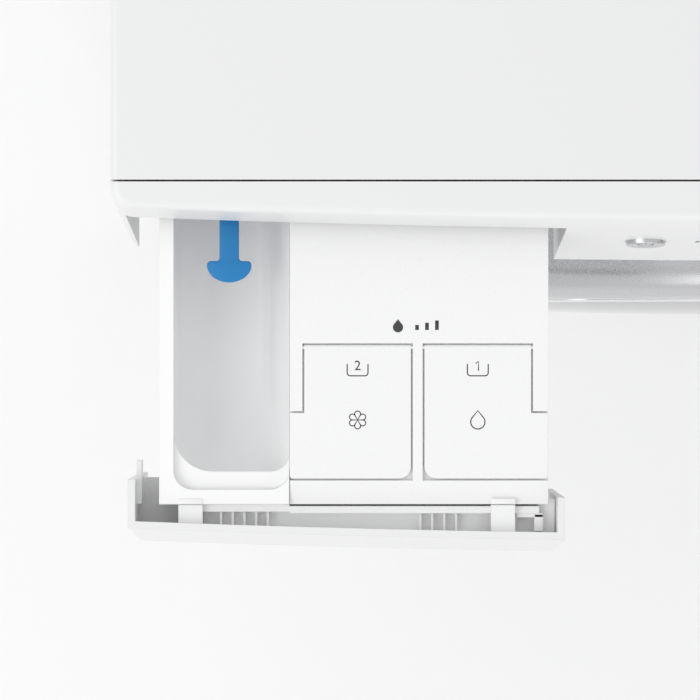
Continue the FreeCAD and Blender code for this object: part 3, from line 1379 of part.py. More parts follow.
def build_dampers():
    """Three upright dampers between the base and the tub, and two springs that carry the tub."""
    spots = [("-damper_x", "damper_front"), ("damper_x", "damper_front"), ("-damper_x", "damper_rear")]
    low = "(base_height + base_wall + seat_gap)"
    cylinders = []
    rods = []
    for x, y in spots:
        case = rod("Z", "damper_radius", low, f"{low} + damper_height", x, y)
        bore = rod("Z", "damper_rod_radius + running_clearance", f"{low} + damper_bore_start",
                   f"{low} + damper_height + 1", x, y)
        cylinders.append(cut(case, bore))
        rods.append(rod("Z", "damper_rod_radius", f"{low} + damper_rod_start", DAMPER_LUG, x, y))
    part("damper_cylinders", group(*cylinders))
    part("damper_rods", group(*rods))
    springs = []
    for x in ("-spring_x", "spring_x"):
        foot = "(porthole_height + spring_lug + seat_gap)"
        head = f"({SIDE_TOP} - 2 * sheet_metal - panel_gap)"
        springs.append(cut(rod("Z", "spring_radius", foot, head, x, "spring_y"),
                           rod("Z", "spring_radius - spring_wire", f"{foot} + spring_wire",
                               f"{head} - spring_wire", x, "spring_y")))
    part("suspension_springs", group(*springs))


def build_drive(front_seat, rear_seat):
    """The bearings and seal in the tub's hub, the drum on its shaft, and the belt drive behind it."""
    front_bearing = ring("front_bearing", "shaft_radius + running_clearance",
                         "bearing_radius - press_clearance",
                         f"{front_seat} - bearing_width", f"{front_seat} - seat_gap")
    rear_bearing = ring("rear_bearing", "shaft_step_radius + running_clearance",
                        "rear_bearing_radius - press_clearance",
                        f"{rear_seat} + seat_gap", f"{rear_seat} + rear_bearing_width")
    part("drum_bearings", group(front_bearing, rear_bearing), z="porthole_height")
    seal = ring("seal", "shaft_radius + running_clearance", "bearing_radius - press_clearance",
                "tub_back - tub_wall + sheet_metal", f"{front_seat} - bearing_width - seat_gap")
    part("shaft_seal", seal, z="porthole_height")

    drum_inner = "(drum_radius - drum_wall)"
    shell = spin("drum", [
        ("drum_front", "drum_mouth"), ("drum_front + drum_cone", "drum_radius"),
        ("drum_back", "drum_radius"),
        ("drum_back", "0"), ("drum_back - drum_wall", "0"), ("drum_back - drum_wall", drum_inner),
        ("drum_front + drum_cone + drum_wall", drum_inner), ("drum_front + 2 * drum_wall", "drum_mouth")])
    part("drum_shell", shell, z="porthole_height")
    build_lifters(drum_inner)

    arm_front = "(drum_back + seat_gap)"
    arms = new_body("spider")
    arm = outline(arms, "XZ_Plane", [("-spider_arm / 2", "0"), ("spider_arm / 2", "0"),
                                     ("spider_arm / 3", "drum_radius - spider_margin"),
                                     ("-spider_arm / 3", "drum_radius - spider_margin")],
                  f"-({arm_front})")
    pad(arms, arm, "spider_depth", True)
    repeat_round(arms, 3)
    hub = rod("Y", "spider_hub", arm_front, f"{arm_front} + spider_depth + spider_hub_step", "0", "0")
    bore = rod("Y", "shaft_radius + press_clearance", "drum_back - 1", "tub_back", "0", "0")
    part("drum_spider", cut(fuse(arms, hub), bore), z="porthole_height")

    step = f"({rear_seat} - shaft_shoulder)"
    shaft_back = f"({PULLEY_FRONT} + pulley_width + shaft_tail)"
    part("drum_shaft", spin("shaft", [(f"{arm_front} + 1", "0"), (f"{arm_front} + 1", "shaft_radius"),
                                      (step, "shaft_radius"),
                                      (step, "shaft_step_radius"), (shaft_back, "shaft_step_radius"),
                                      (shaft_back, "0")]),
         z="porthole_height")
    pulley_back = f"({PULLEY_FRONT} + pulley_width)"
    bore_radius = "(shaft_step_radius + press_clearance)"
    wheel = spin("pulley", [
        (f"{PULLEY_FRONT} - pulley_hub_step", bore_radius),
        (f"{PULLEY_FRONT} - pulley_hub_step", "2 * shaft_step_radius"),
        (f"{PULLEY_FRONT} + pulley_web_front", "2 * shaft_step_radius"),
        (f"{PULLEY_FRONT} + pulley_web_front", "pulley_radius - pulley_rim"),
        (PULLEY_FRONT, "pulley_radius - pulley_rim"), (PULLEY_FRONT, "pulley_radius"),
        (pulley_back, "pulley_radius"),
        (pulley_back, "pulley_radius - pulley_rim"),
        (f"{PULLEY_FRONT} + pulley_web_back", "pulley_radius - pulley_rim"),
        (f"{PULLEY_FRONT} + pulley_web_back", "2 * shaft_step_radius"),
        (f"{pulley_back} + pulley_hub_step", "2 * shaft_step_radius"),
        (f"{pulley_back} + pulley_hub_step", bore_radius)])
    part("drum_pulley", wheel, z="porthole_height")
    build_motor(pulley_back, shaft_back)


def repeat_round(body, count):
    """Repeat a body's last feature round the body's own Y axis."""
    doc.recompute()
    axis = [item for item in body.Origin.OriginFeatures if item.Role == "Y_Axis"][0]
    pattern = body.newObject("PartDesign::PolarPattern", "round")
    pattern.Originals = [body.Tip]
    pattern.Axis = (axis, [""])
    pattern.Angle = 360
    pattern.Occurrences = count
    body.Tip = pattern


def build_lifters(drum_inner):
    """Three hollow-looking ribs inside the drum that lift the wash as it turns."""
    foot = f"({drum_inner} - seat_gap - lifter_foot^2 / 8 / {drum_inner} - seat_gap)"
    crest = f"({foot} - lifter_height)"
    lifters = new_body("lifters")
    rib = outline(lifters, "XZ_Plane", [("-lifter_foot / 2", foot), ("-lifter_crest / 2", crest),
                                        ("lifter_crest / 2", crest), ("lifter_foot / 2", foot)],
                  "-(drum_front + drum_cone + lifter_margin)")
    pad(lifters, rib, "drum_back - drum_front - drum_cone - 2 * lifter_margin", True)
    repeat_round(lifters, 3)
    part("drum_lifters", lifters, z="porthole_height")


def build_motor(pulley_back, shaft_back):
    """The motor under the tub, its rotor with the small pulley, and the belt."""
    gap = "(motor_shaft_radius + running_clearance)"
    case = spin("motor_case", [
        ("motor_front", "0"), ("motor_front", "motor_radius"), (MOTOR_BACK, "motor_radius"),
        (MOTOR_BACK, gap),
        (f"{MOTOR_BACK} - motor_wall", gap), (f"{MOTOR_BACK} - motor_wall", "motor_bore"),
        ("motor_front + motor_wall", "motor_bore"),
        ("motor_front + motor_wall", gap), ("motor_front + motor_cap", gap),
        ("motor_front + motor_cap", "0")], "motor_x", "-motor_drop")
    part("motor_housing", case, z="porthole_height")
    rotor = rod("Y", "rotor_radius", "motor_front + rotor_inset", f"{MOTOR_BACK} - rotor_inset", "motor_x",
                "-motor_drop")
    axle = rod("Y", "motor_shaft_radius", "motor_front + axle_inset", shaft_back, "motor_x", "-motor_drop")
    small = rod("Y", "motor_pulley_radius", PULLEY_FRONT, pulley_back, "motor_x", "-motor_drop")
    part("motor_rotor", fuse(rotor, axle, small), z="porthole_height")

    middle = "pulley_width / 2"
    far = number("sqrt(motor_x^2 + motor_drop^2)")
    heading = math.atan2(-number("motor_drop"), number("motor_x"))
    loops = []
    for grow in ("running_clearance", "running_clearance + belt_thickness"):
        large = number(f"pulley_radius + {grow}")
        small_loop = number(f"motor_pulley_radius + {grow}")
        spread = math.acos((large - small_loop) / far)
        loops.append(belt_loop(large, small_loop, heading, spread))
    face = Part.Face(loops[1]).cut(Part.Face(loops[0]))
    belt = doc.addObject("Part::Feature", "belt")
    belt.Shape = face.extrude(FreeCAD.Vector(0, number("belt_width"), 0))
    move(belt, "0", f"{PULLEY_FRONT} + {middle} - belt_width / 2", "0")
    part("drive_belt", belt, z="porthole_height")


def belt_loop(large, small, heading, spread):
    """A closed wire round two circles in the XZ plane: the drum's axis and the motor's."""
    far_centre = FreeCAD.Vector(number("motor_x"), 0, -number("motor_drop"))

    def spot(centre, radius, angle):
        return centre + FreeCAD.Vector(radius * math.cos(angle), 0, radius * math.sin(angle))

    origin = FreeCAD.Vector(0, 0, 0)
    one, other = heading + spread, heading - spread
    edges = [
        Part.Arc(spot(origin, large, one), spot(origin, large, heading + math.pi),
                 spot(origin, large, other)).toShape(),
        Part.LineSegment(spot(origin, large, other), spot(far_centre, small, other)).toShape(),
        Part.Arc(spot(far_centre, small, other), spot(far_centre, small, heading),
                 spot(far_centre, small, one)).toShape(),
        Part.LineSegment(spot(far_centre, small, one), spot(origin, large, one)).toShape(),
    ]
    return Part.Wire(edges)


# --------------------------------------------------------------------------------------------- door
def build_door():
    """The door's outer ring, window, glass bowl, rear plate with its hinge knuckle, and the hook."""
    back = "(-door_gap)"
    face = "(-door_depth)"
    inner = "(door_radius - door_wall)"
    bend = "(door_depth - door_round)"
    shell = spin("door_shell", [
        (back, inner), (back, "door_radius"), (f"-{bend}", "door_radius", "door_round"),
        (face, "door_radius - door_round"),
        (face, "door_window"), (f"{face} + door_wall", "door_window"),
        (f"{face} + door_wall", "door_radius - door_round", ("-", "door_round - door_wall")),
        (f"-{bend}", inner)])
    hinge_notch = box(("-door_radius - cut_margin", "hinge_notch_depth - door_radius"),
                      (f"{HINGE_Y} - hinge_radius / 2", "0"),
                      ("-hinge_knuckle - hinge_notch_gap", "hinge_knuckle + hinge_notch_gap"))
    grip = box(("door_radius - grip_depth", "door_radius + cut_margin"), (f"-{bend} + grip_wall", "0"),
               ("-handle_height / 2", "handle_height / 2"))
    part("door_ring", cut(shell, hinge_notch, grip), z="porthole_height")

    rim = "(door_window - window_gap)"
    dome = f"({rim}^2 + door_dome^2) / (2 * door_dome)"
    cover = spin("dome", [
        (f"{face} - door_dome", "0", ("-", dome)), (face, rim), (f"{face} + door_cover_wall", rim, dome),
        (f"{face} + door_cover_wall - door_dome", "0")])
    part("door_cover", cover, z="porthole_height")

    plate_front = "(-door_plate_back - door_plate)"
    plate_back = "(-door_plate_back)"
    flange_back = f"({plate_front} - seat_gap)"
    throat = "(bowl_radius + seat_gap)"
    bowl = spin("bowl", [
        (f"{flange_back} - bowl_wall", "bowl_radius - bowl_wall"),
        (f"{flange_back} - bowl_wall", "bowl_radius + bowl_flange"),
        (flange_back, "bowl_radius + bowl_flange"), (flange_back, "bowl_radius"),
        (plate_back, "bowl_radius"),
        ("bowl_depth - bowl_bend_depth", "bowl_bottom_radius"),
        ("bowl_depth", "bowl_bottom_radius - bowl_bend_reach"), ("bowl_depth", "0"),
        ("bowl_depth - bowl_wall", "0"), ("bowl_depth - bowl_wall",
                                          "bowl_bottom_radius - bowl_inner_reach"),
        ("bowl_depth - bowl_inner_bend", "bowl_bottom_radius - bowl_wall")])
    part("door_bowl", bowl, z="porthole_height")

    plate = ring("plate", throat, "door_radius - door_wall - 2 * seat_gap", plate_front, plate_back)
    cover_seat = ring("cover_seat", "bowl_radius + bowl_flange + door_plate / 2",
                      "door_window + cover_seat_lap", f"{face} + door_wall + seat_gap", plate_front)
    grip_way = box(("door_radius - grip_way_depth", "door_radius + cut_margin"),
                   (f"-{bend} + grip_wall", "0"), ("-handle_height / 2", "handle_height / 2"))
    hook_way = box(("hook_x - hook_way_left", "hook_x + hook_way_right"),
                   ("-hook_pivot - hook_way_drop", "0"), ("-hook_ear_inner", "hook_ear_inner"))
    arm = box(("-hinge_x", "hinge_arm_lap - door_radius"), (plate_front, plate_back),
              ("-hinge_knuckle", "hinge_knuckle"))
    link = box(("-hinge_x", "hinge_link - hinge_x"), (HINGE_Y, plate_back),
               ("-hinge_knuckle", "hinge_knuckle"))
    knuckle = rod("Z", "hinge_radius", "-hinge_knuckle", "hinge_knuckle", "-hinge_x", HINGE_Y)
    eye = rod("Z", "hinge_pin_radius + running_clearance", "-hinge_knuckle - 1", "hinge_knuckle + 1",
              "-hinge_x", HINGE_Y)
    ears = [box(("hook_x - hook_ear_half", "hook_x + hook_ear_half"),
                ("-hook_pivot - hook_ear_half", plate_front),
                sorted((f"{side} * hook_ear_inner", f"{side} * hook_ear_outer"), key=number))
            for side in ("-1", "1")]
    hook_pin = rod("Z", "hook_pin_radius", "-hook_pin_half", "hook_pin_half", "hook_x", "-hook_pivot")
    solid_plate = cut(fuse(plate, cover_seat), grip_way, hook_way)
    part("door_inner_ring", fuse(cut(fuse(solid_plate, arm, link, knuckle), eye), *ears, hook_pin),
         z="porthole_height")

    tip = "(hook_length - hook_pivot)"
    boss = rod("Z", "hook_boss_radius", "-hook_boss_half", "hook_boss_half", "hook_x", "-hook_pivot")
    lever = box(("hook_x - hook_half", "hook_x + hook_half"), ("-hook_pivot", tip),
                ("-hook_side", "hook_side"))
    nose = prism("nose", "XY_Plane", [("hook_x", f"{tip} - hook_nose_length"),
                                      ("hook_x + hook_nose_reach", f"{tip} - hook_nose_length"),
                                      ("hook_x + hook_half", tip), ("hook_x", tip)], "-hook_side",
                 "hook_side")
    hole = rod("Z", "hook_pin_radius + running_clearance", "-hook_pin_half", "hook_pin_half", "hook_x",
               "-hook_pivot")
    part("door_hook", cut(fuse(boss, lever, nose), hole), z="porthole_height")
    build_door_fittings()


def build_door_fittings():
    """The hinge on the front panel, the lock behind it, and the gasket between panel and tub."""
    foot = box(("-hinge_x - hinge_foot_left", "hinge_foot_right - hinge_x"),
               ("-2.5 * sheet_metal", "-seat_gap"),
               ("-hinge_knuckle - hinge_foot_rise", "hinge_knuckle + hinge_foot_rise"))
    ears = []
    for side in ("-1", "1"):
        span = sorted((f"{side} * (hinge_knuckle + hinge_side_gap)",
                       f"{side} * (hinge_knuckle + hinge_side_gap + hinge_ear)"), key=number)
        ears.append(rod("Z", "hinge_radius", *span, "-hinge_x", HINGE_Y))
        ears.append(box(("-hinge_x - hinge_ear_half", "hinge_ear_half - hinge_x"), (HINGE_Y, "-seat_gap"),
                        span))
    pin = rod("Z", "hinge_pin_radius", "-hinge_knuckle - hinge_ear", "hinge_knuckle + hinge_ear",
              "-hinge_x", HINGE_Y)
    part("door_hinge", fuse(foot, *ears, pin), z="porthole_height")

    lock = box(("hook_x - lock_left", "hook_x + lock_right"),
               ("sheet_metal + seat_gap", "weight_front - lock_back_gap"), ("-lock_half", "lock_half"))
    way = box(("hook_x - lock_way_left", "hook_x + lock_way_right"),
              ("0", "hook_length - hook_pivot + lock_way_end"), ("-lock_way_half", "lock_way_half"))
    bar = box(("hook_x + lock_bar_left", "hook_x + lock_way_right"),
              ("sheet_metal + seat_gap", "hook_length - hook_pivot - lock_bar_gap"),
              ("-lock_bar_half", "lock_bar_half"))
    part("door_lock", fuse(cut(lock, way), bar), z="porthole_height")

    outer = "(porthole_radius - gasket_gap)"
    neck = "(tub_neck_radius - tub_wall - gasket_gap)"
    back = "tub_front"
    fold = "(tub_front - tub_neck_length - gasket_fold)"
    part("door_gasket", spin("gasket", [
        ("gasket_start", "gasket_lip_radius"), ("gasket_start", outer), ("gasket_step", outer),
        ("gasket_step", "gasket_waist"), (fold, "gasket_waist"), (fold, neck), (back, neck),
        (back, f"{neck} - gasket_wall"), (f"{fold} + gasket_wall", f"{neck} - gasket_wall"),
        (f"{fold} + gasket_wall", "gasket_waist - gasket_wall"),
        ("gasket_step - gasket_wall", "gasket_waist - gasket_wall"),
        ("gasket_step - gasket_wall", f"{outer} - gasket_wall"),
        ("gasket_start + gasket_wall", f"{outer} - gasket_wall"),
        ("gasket_start + gasket_wall", "gasket_lip_radius")]), z="porthole_height")


# ------------------------------------------------------------------------------------ pump and drain
def build_drain():
    """The drain pump behind its filter cap, the sump hose to it and the drain pipe to the rear."""
    mouth = "(filter_radius + running_clearance)"
    chamber = "(pump_front + pump_chamber)"
    pump = spin("pump", [
        ("pump_front", mouth), ("pump_front", f"{mouth} + pump_mouth_wall"),
        ("pump_front + pump_neck", f"{mouth} + pump_mouth_wall"), ("pump_front + pump_neck", "pump_radius"),
        ("pump_back", "pump_radius"), ("pump_back", "0"), (chamber, "0"), (chamber, mouth)], "filter_x",
                "filter_height")
    leg = box(("filter_x - pump_leg_half", "filter_x + pump_leg_half"),
              ("pump_back - pump_leg_start", "pump_back - pump_leg_end"),
              ("base_height + base_wall + seat_gap", "filter_height - pump_radius + pump_leg_lap"))
    stub = rod("X", "sump_radius", "filter_x - pump_radius - pump_stub",
               "filter_x - pump_radius + pump_stub_lap", "sump_y", "filter_height")
    outlet = rod("X", "drain_radius", "filter_x + pump_radius - pump_outlet_lap",
                 "filter_x + pump_radius + 1", "sump_y", "filter_height")
    part("drain_pump", fuse(pump, cut(leg, rod("Y", "pump_radius - 1", "0", "2 * pump_back", "filter_x",
                                               "filter_height")), stub, outlet))

    hose_outer = "(sump_radius + thread_clearance + hose_wall)"
    hose_inner = "(sump_radius + thread_clearance)"
    hose = bent_tube([("sump_x", "sump_y", "porthole_height - tub_radius - sump_hose_lap"),
                      ("sump_x", "sump_y", "filter_height"),
                      ("filter_x - pump_radius - sump_hose_end", "sump_y", "filter_height")], hose_outer,
                     hose_inner, "sump_bend")
    part("sump_hose", hose)
    back = f"({REAR_INNER} - 3 * drain_radius)"
    route = [("filter_x + pump_radius + 1 + seat_gap", "sump_y", "filter_height"),
             ("drain_x", "sump_y", "filter_height"),
             ("drain_x", back, "filter_height"), ("drain_x", back, "drain_height"),
             ("drain_x", "cabinet_depth + inlet_reach", "drain_height")]
    part("drain_pipe", bent_tube(route, "drain_radius", "drain_bore", "drain_bend"))


# --------------------------------------------------------------------------------- build and write
build_cabinet()
build_fascia()
build_drawer()
build_tub()
build_door()
build_drain()
doc.recompute()

faults = [f"{obj.Label}: {state}" for obj in doc.Objects
          for state in obj.State if state in ("Invalid", "Error")]
faults += [f"{obj.Label}: bad shape" for obj in PARTS if obj.Shape.isNull() or not obj.Shape.isValid()
           or not obj.Shape.Solids]
if faults:
    raise RuntimeError("; ".join(faults))

os.makedirs("parts", exist_ok=True)
for obj in PARTS:
    obj.Shape.exportStep(f"parts/{obj.Label}.step")
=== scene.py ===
"""Looks of a front load washing machine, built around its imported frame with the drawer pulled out."""
import json
import logging
import math
from dataclasses import dataclass, field
from enum import Enum
from typing import Callable, Sequence

import bmesh
import bpy
from mathutils import Matrix, Vector


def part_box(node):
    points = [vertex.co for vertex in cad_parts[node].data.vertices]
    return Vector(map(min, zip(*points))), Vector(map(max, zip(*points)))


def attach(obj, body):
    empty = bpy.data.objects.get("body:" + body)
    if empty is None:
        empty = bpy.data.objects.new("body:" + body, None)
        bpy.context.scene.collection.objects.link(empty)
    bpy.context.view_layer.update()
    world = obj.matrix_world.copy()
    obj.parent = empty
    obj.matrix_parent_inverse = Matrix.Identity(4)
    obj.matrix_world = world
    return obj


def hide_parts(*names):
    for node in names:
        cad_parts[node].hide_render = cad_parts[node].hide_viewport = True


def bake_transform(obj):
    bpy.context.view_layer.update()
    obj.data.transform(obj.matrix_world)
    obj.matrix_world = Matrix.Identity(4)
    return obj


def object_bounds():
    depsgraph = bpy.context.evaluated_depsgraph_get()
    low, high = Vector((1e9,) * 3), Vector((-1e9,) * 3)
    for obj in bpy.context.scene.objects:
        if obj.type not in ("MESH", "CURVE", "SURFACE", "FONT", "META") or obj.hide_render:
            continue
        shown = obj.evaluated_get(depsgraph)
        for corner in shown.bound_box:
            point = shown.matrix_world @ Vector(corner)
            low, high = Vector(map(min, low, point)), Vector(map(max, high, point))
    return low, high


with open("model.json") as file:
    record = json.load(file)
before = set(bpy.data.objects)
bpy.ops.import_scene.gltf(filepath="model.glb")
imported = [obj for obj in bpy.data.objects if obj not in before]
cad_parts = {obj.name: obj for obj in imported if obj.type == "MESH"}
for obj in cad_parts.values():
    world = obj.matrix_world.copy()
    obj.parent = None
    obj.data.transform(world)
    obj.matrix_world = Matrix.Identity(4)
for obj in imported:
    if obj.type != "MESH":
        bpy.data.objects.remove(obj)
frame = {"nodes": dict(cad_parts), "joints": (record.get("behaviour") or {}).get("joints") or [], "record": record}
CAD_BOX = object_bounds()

LOG = logging.getLogger("washing_machine")
Point = tuple[float, float]
Spot = tuple[float, float, float]
Line = tuple[Point, ...]
Piece = bpy.types.Object
MM = 0.001
WELD = 0.000002
QUARTER = math.pi / 2
JOINTS = {joint["name"]: joint for joint in frame["joints"]}
SLOTS = {entry["node"]: entry["material_slot"] for entry in frame["record"]["subparts"]}


# ---- finishes
class Grain(Enum):
    """The pattern that a finish carries on its surface."""

    MOULDED = "fine, even noise of a moulded or lacquered surface"
    SPANGLE = "crystal flakes of galvanised sheet"
    BRUSHED = "long fine lines along one direction"
    CAST = "coarse pitted skin"
    PORES = "rough ground with small holes"


NOISE_DETAIL, NOISE_ROUGHNESS = 3.0, 0.55
PIT_SCALE = 0.7
PIT_REACH = {Grain.CAST: 0.7, Grain.PORES: 0.25}
PATTERN_RANGE = (0.2, 0.8)
LEAST_ROUGHNESS = 0.02
COAT_ROUGHNESS = 0.08
BUMP_STRENGTH = 0.6
EDGE_SAMPLES = 4


class Graph:
    """A short way to lay out the nodes of one material."""

    def __init__(self, name: str) -> None:
        """Start an empty node tree.

        Args:
            name: The material's name.
        """
        self.material = bpy.data.materials.new(name)
        self.material.use_nodes = True
        self.tree = self.material.node_tree
        self.tree.nodes.clear()

    def node(self, kind: str, **values: object) -> bpy.types.Node:
        """Add a node and set its inputs.

        Args:
            kind: The node's type without its ShaderNode prefix.
            values: Input names, with _ for each space, and their values or the sockets that feed them.

        Returns:
            The node.
        """
        made = self.tree.nodes.new("ShaderNode" + kind)
        for key, value in values.items():
            socket = made.inputs[key.replace("_", " ")]
            if isinstance(value, bpy.types.NodeSocket):
                self.tree.links.new(value, socket)
            else:
                socket.default_value = value
        return made

    def ramp(self, fac: bpy.types.NodeSocket, low: float, high: float, to_low: float,
             to_high: float) -> bpy.types.NodeSocket:
        """Map a value's range to another one.

        Args:
            fac: The value's socket.
            low: Lowest value read.
            high: Highest value read.
            to_low: What the lowest becomes.
            to_high: What the highest becomes.

        Returns:
            The mapped value's socket.
        """
        spread = self.node("MapRange", Value=fac, From_Min=low, From_Max=high, To_Min=to_low,
                           To_Max=to_high)
        return spread.outputs["Result"]


@dataclass(frozen=True)
class Finish:
    """A finish that a maker would name, with the surface it leaves."""

    name: str
    slot: str
    colour: Spot
    roughness: float
    metallic: float = 0.0
    grain: Grain = Grain.MOULDED
    size: float = 0.0012
    depth: float = 0.00001
    mottle: float = 0.02
    spread: float = 0.05
    edge: float = 0.0003
    stretch: Spot = (1.0, 1.0, 1.0)
    coat: float = 0.0
    transmission: float = 0.0
    glow: float = 0.0

    def material(self) -> bpy.types.Material:
        """Give the finish's material, which is made once.

        Returns:
            The material.
        """
        return bpy.data.materials.get(self.name) or self._build()

    def _pattern(self, graph: Graph) -> bpy.types.NodeSocket:
        """Lay out the surface pattern.

        Args:
            graph: The material's node graph.

        Returns:
            A value from 0 to 1 over the surface.
        """
        place = graph.node("TexCoord").outputs["Object"]
        mapped = graph.node("Mapping", Vector=place,
                            Scale=tuple(share / self.size for share in self.stretch))
        if self.grain is Grain.SPANGLE:
            cells = graph.node("TexVoronoi", Vector=mapped.outputs["Vector"], Scale=1.0, Randomness=1.0)
            return graph.node("SeparateColor", Color=cells.outputs["Color"]).outputs["Red"]
        noise = graph.node("TexNoise", Vector=mapped.outputs["Vector"], Scale=1.0, Detail=NOISE_DETAIL,
                           Roughness=NOISE_ROUGHNESS)
        if self.grain in PIT_REACH:
            cells = graph.node("TexVoronoi", Vector=mapped.outputs["Vector"], Scale=PIT_SCALE,
                               Randomness=1.0)
            pits = graph.ramp(cells.outputs["Distance"], 0.0, PIT_REACH[self.grain], 0.0, 1.0)
            mixed = graph.node("Math", Value=noise.outputs["Fac"])
            mixed.operation = "MULTIPLY"
            graph.tree.links.new(pits, mixed.inputs[1])
            return mixed.outputs["Value"]
        return noise.outputs["Fac"]

    def _build(self) -> bpy.types.Material:
        """Lay out the whole material.

        Returns:
            The material.
        """
        graph = Graph(self.name)
        pattern = self._pattern(graph)
        shade = graph.node("MixRGB", Fac=pattern,
                           Color1=(*(part * (1 - self.mottle) for part in self.colour), 1.0),
                           Color2=(*(min(1.0, part * (1 + self.mottle)) for part in self.colour), 1.0))
        least, most = max(LEAST_ROUGHNESS, self.roughness - self.spread), min(1.0,
                                                                              self.roughness + self.spread)
        rough = graph.ramp(pattern, *PATTERN_RANGE, least, most)
        rounded = graph.node("Bevel", Radius=self.edge)
        rounded.samples = EDGE_SAMPLES
        bump = graph.node("Bump", Height=pattern, Strength=BUMP_STRENGTH, Distance=self.depth,
                          Normal=rounded.outputs["Normal"])
        shader = graph.node("BsdfPrincipled", Base_Color=shade.outputs["Color"], Roughness=rough,
                            Metallic=self.metallic,
                            Coat_Weight=self.coat, Coat_Roughness=COAT_ROUGHNESS,
                            Transmission_Weight=self.transmission,
                            Normal=bump.outputs["Normal"])
        if self.glow:
            shader.inputs["Emission Color"].default_value = (*self.colour, 1.0)
            shader.inputs["Emission Strength"].default_value = self.glow
        graph.node("OutputMaterial", Surface=shader.outputs["BSDF"])
        return graph.material


WHITE = Finish("white_moulding", "white_plastic", (0.80, 0.803, 0.806), 0.34, mottle=0.006)
TRAY = Finish("tray_moulding", "drawer_plastic", (0.92, 0.922, 0.925), 0.42, mottle=0.008, edge=0.0007)
COVER = Finish("cover_moulding", "cover_plastic", (0.88, 0.882, 0.885), 0.30, mottle=0.005, edge=0.00025)
BLUE = Finish("blue_moulding", "blue_plastic", (0.006, 0.200, 0.50), 0.32, mottle=0.03, edge=0.0004)
ENAMEL = Finish("white_enamel_sheet", "white_enamel", (0.80, 0.805, 0.81), 0.22, size=0.0022, mottle=0.005,
                coat=0.3)
ZINC = Finish("galvanised_sheet", "galvanised", (0.50, 0.52, 0.54), 0.42, 0.9, Grain.SPANGLE, size=0.009,
              depth=0.000004,
              mottle=0.12, spread=0.1)
GREY = Finish("grey_moulding", "grey_plastic", (0.16, 0.17, 0.18), 0.5, mottle=0.04)
DARK = Finish("dark_moulding", "dark_plastic", (0.02, 0.021, 0.024), 0.3, mottle=0.1)
PANEL_GLASS = Finish("black_panel_glass", "dark_plastic", (0.008, 0.008, 0.01), 0.07, mottle=0.05,
                     spread=0.02, depth=0.0, coat=1.0)
SMOKED = Finish("smoked_glass_pane", "smoked_glass", (0.16, 0.17, 0.19), 0.03, mottle=0.02, spread=0.01,
                depth=0.0,
                transmission=1.0)
CLEAR = Finish("clear_glass_bowl", "clear_glass", (0.93, 0.96, 0.96), 0.03, mottle=0.01, spread=0.01,
               depth=0.0, transmission=1.0)
SILVER = Finish("silver_lacquer", "silver_plastic", (0.56, 0.565, 0.58), 0.28, 0.85, size=0.0006,
                mottle=0.05)
CHROME = Finish("polished_trim", "silver_plastic", (0.78, 0.785, 0.79), 0.09, 1.0, size=0.0006, depth=0.0,
                mottle=0.02, spread=0.03)
GASKET_RUBBER = Finish("grey_rubber_skin", "grey_rubber", (0.22, 0.225, 0.23), 0.62, size=0.0009,
                       depth=0.00003, mottle=0.06)
BLACK_RUBBER = Finish("black_rubber_skin", "black_rubber", (0.018, 0.018, 0.018), 0.66, size=0.0009,
                      depth=0.00003, mottle=0.15)
TUB = Finish("filled_plastic", "tub_plastic", (0.42, 0.44, 0.45), 0.55, size=0.003, depth=0.00004,
             mottle=0.05)
STAINLESS = Finish("stainless_sheet", "stainless", (0.62, 0.63, 0.64), 0.24, 0.95, Grain.BRUSHED,
                   size=0.0008, depth=0.000003,
                   mottle=0.06, stretch=(1.0, 0.03, 1.0))
STEEL = Finish("turned_steel", "steel", (0.40, 0.41, 0.42), 0.34, 0.95, Grain.BRUSHED, size=0.0006,
               mottle=0.08,
               stretch=(1.0, 1.0, 0.05))
ALLOY = Finish("cast_alloy_skin", "cast_alloy", (0.52, 0.53, 0.54), 0.46, 0.9, Grain.CAST, size=0.002,
               depth=0.00006, mottle=0.08)
CONCRETE = Finish("cast_concrete", "concrete", (0.32, 0.315, 0.30), 0.9, 0.0, Grain.PORES, size=0.004,
                  depth=0.0004, mottle=0.2)
INK = Finish("printed_ink", "dark_plastic", (0.045, 0.045, 0.048), 0.5, mottle=0.1, depth=0.0)
GREY_INK = Finish("pale_printed_ink", "grey_plastic", (0.22, 0.225, 0.23), 0.5, mottle=0.05, depth=0.0)
LIT = Finish("lit_segment", "dark_plastic", (0.80, 0.88, 0.95), 0.4, mottle=0.01, depth=0.0, glow=1.6)
FLOOR = Finish("pale_floor", "white_plastic", (0.96, 0.96, 0.96), 0.7, size=0.02, depth=0.0, mottle=0.004)

SLOT_FINISH = {
    finish.slot: finish
    for finish in (WHITE, TRAY, COVER, BLUE, ENAMEL, ZINC, GREY, DARK, SMOKED, CLEAR, SILVER, GASKET_RUBBER,
                   BLACK_RUBBER, TUB, STAINLESS, STEEL, ALLOY, CONCRETE)
}


